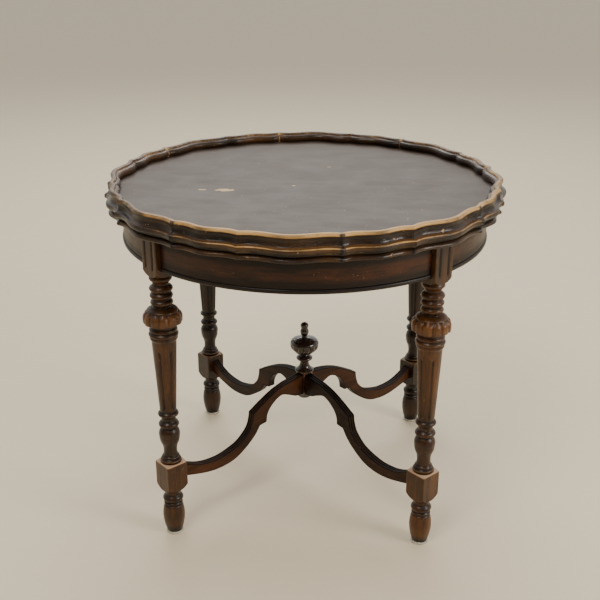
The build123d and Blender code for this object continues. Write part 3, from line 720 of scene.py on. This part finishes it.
def arm_rows():
    """Cross sections of an arm along its length, each a loop of points: the reeded top, then the two
    sides and the underside. Top and underside are matched by their share of the length."""
    top = np.concatenate([smooth_run(run, 2.0) for run in ARM_TOP])
    under = np.concatenate([smooth_run(run, 2.0) for run in ARM_UNDER])
    count = 190
    top, under = evenly(top, count), evenly(under, count)
    along = np.gradient(top, axis=0)
    along /= np.linalg.norm(along, axis=1, keepdims=True)
    upward = np.stack([-along[:, 1], along[:, 0]], -1)
    reed = (2 * ARM_HALF - 2 * REED_GROOVE) / 3
    across, lift = [], []
    for i in range(3):
        start = -ARM_HALF + i * (reed + REED_GROOVE)
        for t in np.linspace(0, 1, 9):
            across.append(start + reed * t)
            lift.append(REED_CROWN * math.sin(math.pi * t) ** 0.6 - REED_CROWN)
        if i < 2:
            across.append(start + reed + REED_GROOVE / 2)
            lift.append(-REED_CROWN - 0.9)
    across, lift = np.array(across), np.array(lift)
    sections = []
    for high, low, up in zip(top, under, upward):
        crest = np.stack(
            [high[0] + up[0] * lift, across, high[1] + up[1] * lift],
            -1,
        )
        side = np.linspace(crest[-1], (low[0], ARM_HALF - 0.5, low[1] + 0.2), 16)[1:]
        base = np.linspace((low[0], ARM_HALF - 1.2, low[1]), (low[0], 1.2 - ARM_HALF, low[1]), 8)
        other = np.linspace((low[0], 0.5 - ARM_HALF, low[1] + 0.2), crest[0], 16)[:-1]
        sections.append(np.concatenate([crest, side, base, other]))
    return np.array(sections)


arm_wood = lacquered_wood(
    "reeded_walnut",
    dark=(0.008, 0.0033, 0.0018),
    pale=(0.105, 0.037, 0.013),
    bare=(0.24, 0.12, 0.05),
    streaks=0.45,
    gloss=0.42,
    coat=0.03,
    shine=0.14,
    wear=0.6,
)
ARM_LIGHT = (-0.12, 0.08, -0.1, 0.08)
one_arm = arm_rows()
arm_sides = np.abs(one_arm[..., 1]) > ARM_HALF - 0.7
near_leg = smoothstep(one_arm[..., 0], 200, 300)
arm_tone = np.where(arm_sides, 0.34 + 0.14 * near_leg, 0.1)
for number, name in enumerate(leg_names):
    low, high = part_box(f"glide_{name}")
    bearing = math.atan2((low + high).y, (low + high).x)
    skin(
        f"serpentine_arm_{name}",
        turned_to(one_arm[:, ::-1] * MM, bearing)[::-1],
        True,
        "frame",
        arm_wood,
        [f"stretcher_arm_{name}"],
        grain=(one_arm[:, ::-1] * MM)[::-1][..., [1, 2, 0]] + np.array((0.2, 0.5, 0.3)) * (number + 1),
        tone=arm_tone[:, ::-1][::-1] + ARM_LIGHT[number],
        sharp=30,
    )


# ---- Hub and finial ----
# A small square walnut block that takes the four arms, and an urn finial turned in one piece with a
# gadrooned bun, dowelled into its top. Both are nearly black and glossy.
HUB_HALF = 12.0
hub_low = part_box("stretcher_hub")[0].z / MM
hub_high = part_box("stretcher_hub")[1].z / MM
# Heights are measured up from the top of the hub.
FINIAL = [
    (0.3, 0.0, 0),
    (18.6, 0.0, 0),
    (19.4, 3.4, 0.6),
    (9.4, 17.0, -2.2),
    (9.0, 20.6, -0.4),
    (11.0, 23.4, 0),
    (11.0, 34.4, 5.8),
    (8.6, 37.0, -0.3),
    (26.0, 50.0, 1.4),
    (29.2, 59.0, 0.8),
    (20.0, 71.6, 3.2),
    (5.4, 75.8, 0.8),
    (5.2, 79.0, -0.3),
    (7.2, 92.6, 2.4),
    (7.2, 96.4, -0.3),
    (1.6, 107.6, 3.6),
    (0.2, 108.2, 0.1),
]
BUN = (36.5, 59.5)

black_wood = lacquered_wood(
    "black_walnut",
    dark=(0.006, 0.0035, 0.0028),
    pale=(0.045, 0.017, 0.008),
    bare=(0.16, 0.075, 0.035),
    streaks=0.35,
    gloss=0.25,
    coat=0.8,
    coat_rough=0.12,
    wear=0.7,
)
urn = turned_skin(eased(outline(FINIAL, pace=0.9)), 144)
lift = urn[..., 2]
spin = np.arange(144) * 2 * math.pi / 144
pitch = 2 * math.pi / GADROONS
off = ((spin + pitch / 2) % pitch - pitch / 2) / (pitch / 2)
rib = np.sqrt(np.maximum(1 - (0.95 * off) ** 2, 0))
share = smoothstep(lift, BUN[0], BUN[0] + 5) * smoothstep(lift, BUN[1] + 3.5 * rib, BUN[1] - 1.5 + 3.5 * rib)
shrink = 1 - 0.17 * share * (1 - rib)
urn[..., 0] *= shrink
urn[..., 1] *= shrink
urn[..., 2] += hub_high
skin(
    "urn_finial",
    turned_to(urn * MM, math.pi / 4),
    True,
    "frame",
    black_wood,
    ["finial"],
    grain=urn * MM,
    tone=0.4,
)


def hub_rows():
    corner = HUB_HALF * math.sqrt(2) + 0.4
    shoulder = outline([(8.0, hub_low, 0), (corner, hub_low + 12.0, 1.8)], pace=1.0)
    limits = np.concatenate([[0.2], shoulder[:, 0], np.full(12, corner), [0.2]])
    heights = np.concatenate([[hub_low], shoulder[:, 1], np.linspace(hub_low + 14, hub_high, 12), [hub_high]])
    angle = np.arange(96) * 2 * math.pi / 96
    flat = square_reach(angle)
    rows = []
    for height, limit in zip(heights, limits):
        radius = np.minimum(HUB_HALF * flat, limit)
        rows.append(np.stack([radius * np.cos(angle), radius * np.sin(angle), np.full(96, height)], -1))
    return np.array(rows)


skin(
    "hub_block",
    turned_to(hub_rows() * MM, math.pi / 4),
    True,
    "frame",
    black_wood,
    ["stretcher_hub"],
    tone=0.3,
)


# ---- Drum apron ----
# Four curved sides veneered in red-brown mahogany, tenoned between the posts, each with a half-round
# walnut bead let into its lower edge.
side_angles = {"front": -90.0, "right": 0.0, "back": 90.0, "left": 180.0}
DRUM_RADIUS = 346.5
APRON_THICKNESS = 20.0
BEAD = (4.0, 8.0, 2.2)  # depth let in, height, and how far it stands proud
POST_HALF = 21.0  # a little inside the face of the post


def swept(section, angles, drop=None):
    """A closed section of (radius, height) points carried round the table at the given angles. The
    radius is shortened by drop, one value for each angle, times each point's share of it."""
    rows = []
    for radius, height, share in section:
        reach = radius - (0 if drop is None else drop * share)
        level = np.full(len(angles), height)
        rows.append(np.stack([reach * np.cos(angles), reach * np.sin(angles), level], -1))
    return np.array(rows).transpose(1, 0, 2)


def rounded_section(points, cuts=2):
    """Cuts the corners of a closed outline of (radius, height, share) a few times, to round them."""
    line = np.array(points, float)
    for _ in range(cuts):
        after = np.roll(line, -1, 0)
        line = np.stack([line * 0.8 + after * 0.2, line * 0.2 + after * 0.8], 1).reshape(-1, 3)
    return line


mahogany = lacquered_wood(
    "mahogany_veneer",
    dark=(0.0095, 0.0034, 0.0017),
    pale=(0.108, 0.031, 0.010),
    bare=(0.25, 0.12, 0.055),
    streaks=0.8,
    gloss=0.34,
    coat=0.12,
    coat_rough=0.2,
    shine=0.26,
    figure=(34, 34, 5),
)
low, high = drum_bottom, drum_top
apron_section = [
    (DRUM_RADIUS - APRON_THICKNESS, low, 0),
    (DRUM_RADIUS - APRON_THICKNESS / 2, low, 0),
    (DRUM_RADIUS - BEAD[0], low, 0),
    (DRUM_RADIUS - BEAD[0], low + BEAD[1], 0),
    (DRUM_RADIUS - 0.8, low + BEAD[1], 0),
    (DRUM_RADIUS, low + BEAD[1] + 0.8, 0),
    *[(DRUM_RADIUS, low + BEAD[1] + 0.8 + t, 0) for t in np.linspace(6, 46, 7)],
    (DRUM_RADIUS, high - 0.8, 0),
    (DRUM_RADIUS - 0.8, high, 0),
    (DRUM_RADIUS - APRON_THICKNESS, high, 0),
    (DRUM_RADIUS - APRON_THICKNESS, (low + high) / 2, 0),
]
half_round = [
    (DRUM_RADIUS - BEAD[0] + BEAD[0] * t, low, 0) for t in (0.0, 0.5)
] + [
    (
        DRUM_RADIUS - 0.2 + (BEAD[2] + 0.2) * math.cos(t),
        low + BEAD[1] / 2 + (BEAD[1] / 2 - 0.1) * math.sin(t),
        0,
    )
    for t in np.linspace(-math.pi / 2, math.pi / 2, 13)
] + [(DRUM_RADIUS - BEAD[0] / 2, low + BEAD[1], 0), (DRUM_RADIUS - BEAD[0], low + BEAD[1], 0)]
for side, centre in side_angles.items():
    reach = math.radians(45) - math.asin(POST_HALF / DRUM_RADIUS)
    angles = math.radians(centre) + np.linspace(-reach, reach, 73)
    for name, section, finish, slot, cad, tone in (
        ("apron_panel", apron_section, mahogany, "mahogany_veneer", "apron", 0.4),
        ("apron_beading", half_round, walnut_legs, "turned_walnut", "apron_bead", 0.16),
    ):
        rows = swept(section, angles) * MM
        around = np.broadcast_to((angles * DRUM_RADIUS * MM)[:, None], rows.shape[:2])
        skin(
            f"{name}_{side}",
            rows,
            True,
            "frame",
            finish,
            [f"{cad}_{side}"],
            grain=np.stack([rows[..., 2], np.hypot(rows[..., 0], rows[..., 1]), around], -1),
            tone=tone,
            sharp=30,
        )


# ---- Board ----
# A flat round of veneered board under dark stain and dull lacquer, faintly wavy, with a few places
# where a chip of the finish has come away and small dents.
BOARD_CHIPS = [
    # x, y, length, width in metres
    (-0.146, -0.055, 0.032, 0.017),
    (-0.189, -0.056, 0.015, 0.006),
    (0.041, 0.130, 0.008, 0.003),
    (-0.020, -0.016, 0.006, 0.004),
]
board_finish, tree, shader = empty_finish("dark_table_lacquer")
spot = step(tree, "ShaderNodeTexCoord").outputs["Object"]
streak = noise(tree, spot, (5, 90, 1), 5, 0.6, 0.3)
cloud = noise(tree, spot, (6, 6, 1), 4, 0.6)
colour = mixed(tree, ramp(tree, streak, 0.3, 0.75), (0.045, 0.027, 0.0185, 1), (0.060, 0.0385, 0.028, 1))
colour = mixed(tree, ramp(tree, cloud, 0.35, 0.7, 0.0, 0.5), colour, (0.068, 0.047, 0.035, 1))
speck = noise(tree, spot, (240, 240, 1), 2, 0.5)
specks = ramp(tree, speck, 0.74, 0.78)
chips = specks
places = step(tree, "ShaderNodeSeparateXYZ", [(0, spot)])
ragged = noise(tree, spot, (160, 160, 1), 4, 0.7)
for x, y, length, width in BOARD_CHIPS:
    across = sums(tree, "DIVIDE", sums(tree, "SUBTRACT", places.outputs[0], x), length / 2)
    along = sums(tree, "DIVIDE", sums(tree, "SUBTRACT", places.outputs[1], y), width / 2)
    across, along = [sums(tree, "POWER", sums(tree, "ABSOLUTE", way), 2.0) for way in (across, along)]
    far = sums(tree, "ADD", across, along)
    far = sums(tree, "ADD", far, sums(tree, "MULTIPLY", sums(tree, "SUBTRACT", ragged, 0.5), 4.0))
    chips = sums(tree, "MAXIMUM", chips, ramp(tree, far, 1.2, 0.8))
colour = mixed(tree, chips, colour, (0.62, 0.42, 0.19, 1))
tree.links.new(colour, shader.inputs["Base Color"])
haze = noise(tree, spot, (14, 22, 1), 5, 0.6)
rough = ramp(tree, haze, 0.3, 0.75, 0.44, 0.54)
tree.links.new(rough, shader.inputs["Roughness"])
shader.inputs["Specular IOR Level"].default_value = 0.4
wave = noise(tree, spot, (9, 13, 1), 3, 0.5)
normal = bumped(tree, wave, 0.0015, 0.08)
normal = bumped(tree, speck, 0.0003, 0.25, normal)
normal = bumped(tree, chips, -0.0006, 0.6, normal)
tree.links.new(normal, shader.inputs["Normal"])


def dress(node, finish):
    """A piece that keeps its own plain shape gets its finish."""
    mesh = frame["nodes"][node].data
    mesh.materials.clear()
    mesh.materials.append(finish)


dress("top_board", board_finish)


# ---- Scalloped rim ----
# Eight carved walnut segments glued round the board, one long and one short lobe each: a nosing, a
# coved wall, a rounded lip rubbed to the wood, and a second roll inside that is undercut.
TOP_RADIUS = 381.0
LONG_HALF, SHORT_HALF = 13.0, 9.5
LONG_VALLEY, SHORT_VALLEY = 9.0, 6.2
CROWN_DROP = (0.0, 3.0)
VALLEY_DROP = 9.5
CUSP_DROP = 3.6
CUSP_SLOPE = 2.1
board_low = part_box("top_board")[0].z / MM

# (radius at the crown of a long lobe, height above the board's underside, share of the scallop)
RIM_SECTION = [
    (373.0, 0.0, 1),
    (373.0, 4.5, 1),
    (379.5, 6.3, 1),
    (381.0, 8.6, 1),
    (381.0, 13.2, 1),
    (379.3, 15.5, 1),
    (375.2, 16.8, 1),
    (373.6, 18.0, 1),
    (372.5, 21.0, 1),
    (371.7, 26.0, 1),
    (372.6, 30.0, 1),
    (373.8, 32.0, 1),
    (373.8, 35.0, 1),
    (372.2, 37.4, 1),
    (368.8, 38.0, 1),
    (365.2, 37.3, 1),
    (363.6, 35.0, 1),
    (363.3, 33.4, 1),
    (361.5, 33.0, 1),
    (358.5, 31.4, 1),
    (356.8, 28.0, 1),
    (356.6, 24.4, 1),
    (357.6, 21.6, 1),
    (359.6, 20.0, 1),
    (359.6, 18.0, 1),
    (360.0, 18.0, 0),
    (360.0, 9.0, 0),
    (360.0, 0.0, 0),
]


def lobe_drop(offset, half, valley, crown):
    """How far the edge falls back from the crown circle, at an angle off the middle of a lobe: a
    sharp point at each end, a hollow, and a round swell in the middle."""
    off = np.abs(offset)
    t = np.clip((off - valley) / (half - valley), 0, 1)
    horn = VALLEY_DROP - (VALLEY_DROP - CUSP_DROP) * t**CUSP_SLOPE
    swell = crown + (VALLEY_DROP - crown) * 0.5 * (1 - np.cos(math.pi * np.clip(off / valley, 0, 1)))
    return np.where(off > valley, horn, swell)


def hand_cut(angles):
    """Small unevenness of a carved edge, in millimetres."""
    return 0.35 * np.sin(9 * angles + 0.7) + 0.25 * np.sin(23 * angles + 2.0) + 0.16 * np.sin(61 * angles)


def pair_of_lobes(number):
    """Angles and drops along one segment, from one sharp point to the next but one."""
    middle = 45.0 * number
    long_run = np.linspace(-LONG_HALF, LONG_HALF, 61)
    short_run = np.linspace(-SHORT_HALF, SHORT_HALF, 45)
    angles = np.radians(np.concatenate([middle + long_run, middle + 22.5 + short_run[1:]]))
    drops = np.concatenate(
        [
            lobe_drop(long_run, LONG_HALF, LONG_VALLEY, CROWN_DROP[0]),
            lobe_drop(short_run, SHORT_HALF, SHORT_VALLEY, CROWN_DROP[1])[1:],
        ]
    )
    return angles, drops + np.abs(hand_cut(angles))


rim_wood = lacquered_wood(
    "crazed_rim_lacquer",
    dark=(0.0085, 0.0036, 0.0018),
    pale=(0.185, 0.080, 0.020),
    bare=(0.66, 0.40, 0.15),
    streaks=0.28,
    gloss=0.32,
    coat=0.25,
    coat_rough=0.16,
    crackle=0.6,
)
# Where hands have rubbed the rim: all along the front, least at the back left, by bearing in degrees.
RUBBED = [
    (-180, 0.30),
    (-150, 0.35),
    (-125, 0.62),
    (-108, 1.0),
    (-60, 1.0),
    (-30, 0.8),
    (0, 0.55),
    (60, 0.3),
    (180, 0.30),
]
# Where the lacquer has shrunk into coarse glossy scales.
SCALED = [(-180, 0.75), (-160, 0.3), (-120, 0.0), (60, 0.0), (95, 0.55), (112, 1.0), (160, 1.0), (180, 0.75)]

section = rounded_section([(r, board_low + h, s) for r, h, s in RIM_SECTION])
height_up = section[:, 1] - board_low
outside = section[:, 0] > 366
crest = smoothstep(height_up, 29.5, 34.5) * (section[:, 0] > 362)
wall = outside & (height_up > 17.5) & (height_up < 33)
# A thin pale line along the top of the nosing: partly rubbed wood, partly painted highlight.
nosing_wear_and_highlight = np.exp(-(((height_up - 14.6) / 1.2) ** 2)) * (section[:, 0] > 374)
# Painted light and shade on the round nosing: paler at its top, darker towards its foot.
nosing_painted_shading = smoothstep(height_up, 5.0, 15.5) * (height_up < 17.2) * (section[:, 0] > 374)
inner_roll = (section[:, 0] < 363.5) & (height_up > 20)


CORE = (366.5, 28.0)  # radius and height of the middle of the wall, above the board's underside
LUMP = 0.45  # height of the scales


def scales(angles, section):
    """Coarse lumps of shrunken lacquer, from -1 to 1, over the surface of the rim."""
    along = angles[:, None] * TOP_RADIUS
    girth = np.concatenate([[0], np.cumsum(np.linalg.norm(np.diff(section[:, :2], axis=0), axis=1))])[None]
    first = np.sin(0.62 * along + 2.2 * np.sin(0.31 * girth + 0.17 * along))
    first = first * np.sin(0.8 * girth + 1.7 * np.sin(0.23 * along))
    second = np.sin(1.07 * along + 1.9 * np.sin(0.47 * girth))
    second = second * np.sin(0.55 * girth - 0.29 * along)
    return 0.6 * first + 0.4 * second


for number in range(8):
    angles, drops = pair_of_lobes(number)
    bearing = (np.degrees(angles) + 180) % 360 - 180
    rubbed = np.interp(bearing, *zip(*RUBBED))[:, None]
    scaled = np.interp(bearing, *zip(*SCALED))[:, None]
    lumps = scales(angles, section) * scaled * smoothstep(height_up, 19.0, 24.0)[None]
    rows = swept(section, angles, drops)
    level = np.full(len(angles), board_low + CORE[1])
    middle = np.stack([CORE[0] * np.cos(angles), CORE[0] * np.sin(angles), level], -1)
    outward = rows - middle[:, None]
    outward /= np.linalg.norm(outward, axis=2, keepdims=True)
    above_board = (height_up > 20.5)[None, :, None]
    rows = (rows + outward * LUMP * lumps[..., None] * above_board) * MM
    around = np.broadcast_to((angles * TOP_RADIUS * MM)[:, None], rows.shape[:2])
    front = rubbed**2
    # The nosing term is painted light and shade, paler high on the nosing and darker below, strongest where
    # front is high.
    tone = 0.12 + 0.50 * front * crest[None] + 0.02 * front * wall[None] + 0.45 * front * nosing_painted_shading[None]
    tone = tone + 0.14 * crest[None] + 0.10 * inner_roll[None] + 0.45 * np.maximum(lumps, 0) + 0.12 * scaled
    # The nosing line here is partly wear and partly painted highlight.
    rub = crest[None] * (0.15 + 0.75 * rubbed) + nosing_wear_and_highlight[None] * (0.05 + 0.75 * rubbed)
    rub = rub - 0.3 * inner_roll[None] - 0.5 * (wall * (1 - crest))[None]
    skin(
        f"rim_lobes_{number + 1}",
        rows,
        True,
        "top",
        rim_wood,
        [f"rim_segment_{number + 1}"],
        grain=np.stack([rows[..., 2], np.hypot(rows[..., 0], rows[..., 1]), around], -1),
        tone=tone,
        worn=rub,
        sharp=34,
    )


# ---- Under-moulding ----
# Four quarters of a scalloped half-round moulding under the board's edge, outside the drum.
UNDER_SECTION = [
    (375.0, 0.0, 1),
    (377.4, 1.9, 1),
    (377.7, 4.0, 1),
    (376.6, 6.6, 1),
    (374.0, 8.2, 1),
    (371.0, 9.6, 1),
    (350.0, 9.6, 0),
    (326.5, 9.6, 0),
    (326.5, 0.0, 0),
    (350.0, 0.0, 0),
]
under_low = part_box("under_moulding_front")[0].z / MM
section = rounded_section([(r, under_low + h, s) for r, h, s in UNDER_SECTION], 2)
section[:, 1] = np.clip(section[:, 1], under_low, board_low)
for quarter, side in enumerate(("right", "back", "left", "front")):
    first, second = pair_of_lobes(2 * quarter), pair_of_lobes(2 * quarter + 1)
    angles = np.concatenate([first[0], second[0][1:]])
    drops = np.concatenate([first[1], second[1][1:]])
    rows = swept(section, angles, drops) * MM
    around = np.broadcast_to((angles * TOP_RADIUS * MM)[:, None], rows.shape[:2])
    skin(
        f"under_lobes_{side}",
        rows,
        True,
        "top",
        rim_wood,
        [f"under_moulding_{side}"],
        grain=np.stack([rows[..., 2] + 0.1, np.hypot(rows[..., 0], rows[..., 1]), around], -1),
        # tone and worn are raised over the whole moulding as a painted highlight on its round
        tone=0.3,
        worn=0.12,
        sharp=34,
    )


# ---- Inside the drum ----
# Plain poplar bearers under the board, cross rails and glued corner blocks, never polished, with
# countersunk steel screws.
poplar = lacquered_wood(
    "bare_poplar",
    dark=(0.16, 0.10, 0.05),
    pale=(0.42, 0.30, 0.17),
    bare=(0.48, 0.36, 0.22),
    streaks=0.6,
    gloss=0.62,
    coat=0.0,
    figure=(50, 6, 50),
    attribute=False,
)
for node in ["bearer_right", "bearer_left", "cross_rail_front", "cross_rail_back", "bolt_packer"]:
    dress(node, poplar)
for name in leg_names:
    dress(f"corner_block_{name}", poplar)

steel, tree, shader = empty_finish("dull_steel")
spot = step(tree, "ShaderNodeTexCoord").outputs["Object"]
rust = ramp(tree, noise(tree, spot, (600, 600, 600), 4, 0.6), 0.5, 0.68)
tree.links.new(mixed(tree, rust, (0.36, 0.35, 0.33, 1), (0.16, 0.09, 0.05, 1)), shader.inputs["Base Color"])
shader.inputs["Metallic"].default_value = 0.9
tree.links.new(ramp(tree, rust, 0.0, 1.0, 0.36, 0.7), shader.inputs["Roughness"])
for node in [n for n in frame["nodes"] if "screws" in n]:
    dress(node, steel)


# ---- Hinges and bolt ----
# Two small brass butt hinges at the back of the drum let the top tip up, and a brass bolt under the
# front holds it shut. The brass is dull and brown where no hand rubs it. Their seats are cut in the
# wood at the end.
brass, tree, shader = empty_finish("aged_brass")
spot = step(tree, "ShaderNodeTexCoord").outputs["Object"]
tarnish = ramp(tree, noise(tree, spot, (180, 180, 180), 5, 0.65), 0.38, 0.66)
tree.links.new(mixed(tree, tarnish, (0.50, 0.34, 0.13, 1), (0.17, 0.10, 0.045, 1)), shader.inputs["Base Color"])
shader.inputs["Metallic"].default_value = 1.0
tree.links.new(ramp(tree, tarnish, 0.0, 1.0, 0.3, 0.55), shader.inputs["Roughness"])
tree.links.new(bumped(tree, tarnish, 0.0001, 0.4), shader.inputs["Normal"])
fittings = ["bolt", "bolt_plate", "strike_plate"]
for part in ("leaf_top", "leaf_apron", "pin"):
    fittings += [f"hinge_{part}_{side}" for side in ("right", "left")]
for node in fittings:
    dress(node, brass)


LEAF = (0.020, 0.0015)  # how far a hinge leaf reaches in from its pin, and its thickness
KNUCKLE_SEAT = 0.0037
KNUCKLE_SPARE = 0.0005
BOLT_HOLE = 0.0036
BOLT_HOLE_LENGTH = 0.013
PAST = 0.001  # how far a cutter runs past the face it cuts


def joined_cutter(boxes, rods):
    """One object from boxes as (low, high) corners and rods as (low, high, radius), in metres."""
    shape = bmesh.new()
    for low, high in boxes:
        size = Vector(high) - Vector(low)
        place = Matrix.Translation((Vector(low) + Vector(high)) / 2)
        bmesh.ops.create_cube(shape, matrix=place @ Matrix.Diagonal((*size, 1)))
    for low, high, radius in rods:
        run = Vector(high) - Vector(low)
        turn = run.to_track_quat("Z", "Y").to_matrix().to_4x4()
        place = Matrix.Translation((Vector(low) + Vector(high)) / 2) @ turn
        sizes = {"radius1": radius, "radius2": radius, "depth": run.length}
        bmesh.ops.create_cone(shape, cap_ends=True, segments=32, matrix=place, **sizes)
    mesh = bpy.data.meshes.new("cutter")
    shape.to_mesh(mesh)
    shape.free()
    cutter = bpy.data.objects.new("cutter", mesh)
    scene.collection.objects.link(cutter)
    return cutter


def let_in(name, boxes, rods=()):
    """Cuts seats for fittings into a piece. New points take their finish from those around."""
    piece = bpy.data.objects[name]
    old = piece.data
    cutter = joined_cutter(boxes, rods)
    cut = piece.modifiers.new("seats", "BOOLEAN")
    cut.operation, cut.solver, cut.object = "DIFFERENCE", "EXACT", cutter
    cut.use_self = True
    bpy.context.view_layer.update()
    evaluated = piece.evaluated_get(bpy.context.evaluated_depsgraph_get())
    made = bpy.data.meshes.new_from_object(evaluated)
    piece.modifiers.clear()
    bpy.data.objects.remove(cutter)

    near = KDTree(len(old.vertices))
    for i, vertex in enumerate(old.vertices):
        near.insert(vertex.co, i)
    near.balance()
    close = [near.find_n(vertex.co, 3) for vertex in made.vertices]
    which = np.array([[i for _, i, _ in found] for found in close])
    shares = np.array([[1 / (far + 1e-7) for _, _, far in found] for found in close])
    shares /= shares.sum(1, keepdims=True)
    layers = [(label, "value", 1) for label in ("tone", "worn", "hollow")] + [("grain", "vector", 3)]
    for label, field, wide in layers:
        before = np.zeros(len(old.vertices) * wide)
        old.attributes[label].data.foreach_get(field, before)
        after = (before.reshape(-1, wide)[which] * shares[..., None]).sum(1)
        if label not in made.attributes:
            made.attributes.new(label, "FLOAT_VECTOR" if wide == 3 else "FLOAT", "POINT")
        made.attributes[label].data.foreach_set(field, np.array(after, np.float32).ravel())
    piece.data = made


leaf_seats, moulding_seats, knuckle_seats = [], [], []
drum_rim, moulding_foot = drum_top * MM, under_low * MM
for side in ("right", "left"):
    low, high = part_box(f"hinge_pin_{side}")
    pin = (low + high) / 2
    inner, outer = (low.x, pin.y - LEAF[0]), (high.x, pin.y)
    leaf_seats.append(((*inner, drum_rim - LEAF[1]), (*outer, drum_rim + PAST)))
    moulding_seats.append(((*inner, moulding_foot - PAST), (*outer, moulding_foot + LEAF[1])))
    ends = [(x, pin.y, pin.z) for x in (low.x - KNUCKLE_SPARE, high.x + KNUCKLE_SPARE)]
    knuckle_seats.append((*ends, KNUCKLE_SEAT))
let_in("apron_panel_back", leaf_seats)
let_in("under_lobes_back", moulding_seats, knuckle_seats)
low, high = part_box("strike_plate")
strike_seat = (low, (high.x, high.y + 2 * PAST, high.z))
hole_start, hole_height = low.y + 2 * PAST, (low.z + high.z) / 2
bolt_hole = ((0, hole_start, hole_height), (0, hole_start - BOLT_HOLE_LENGTH, hole_height), BOLT_HOLE)
let_in("apron_panel_front", [strike_seat], [bolt_hole])
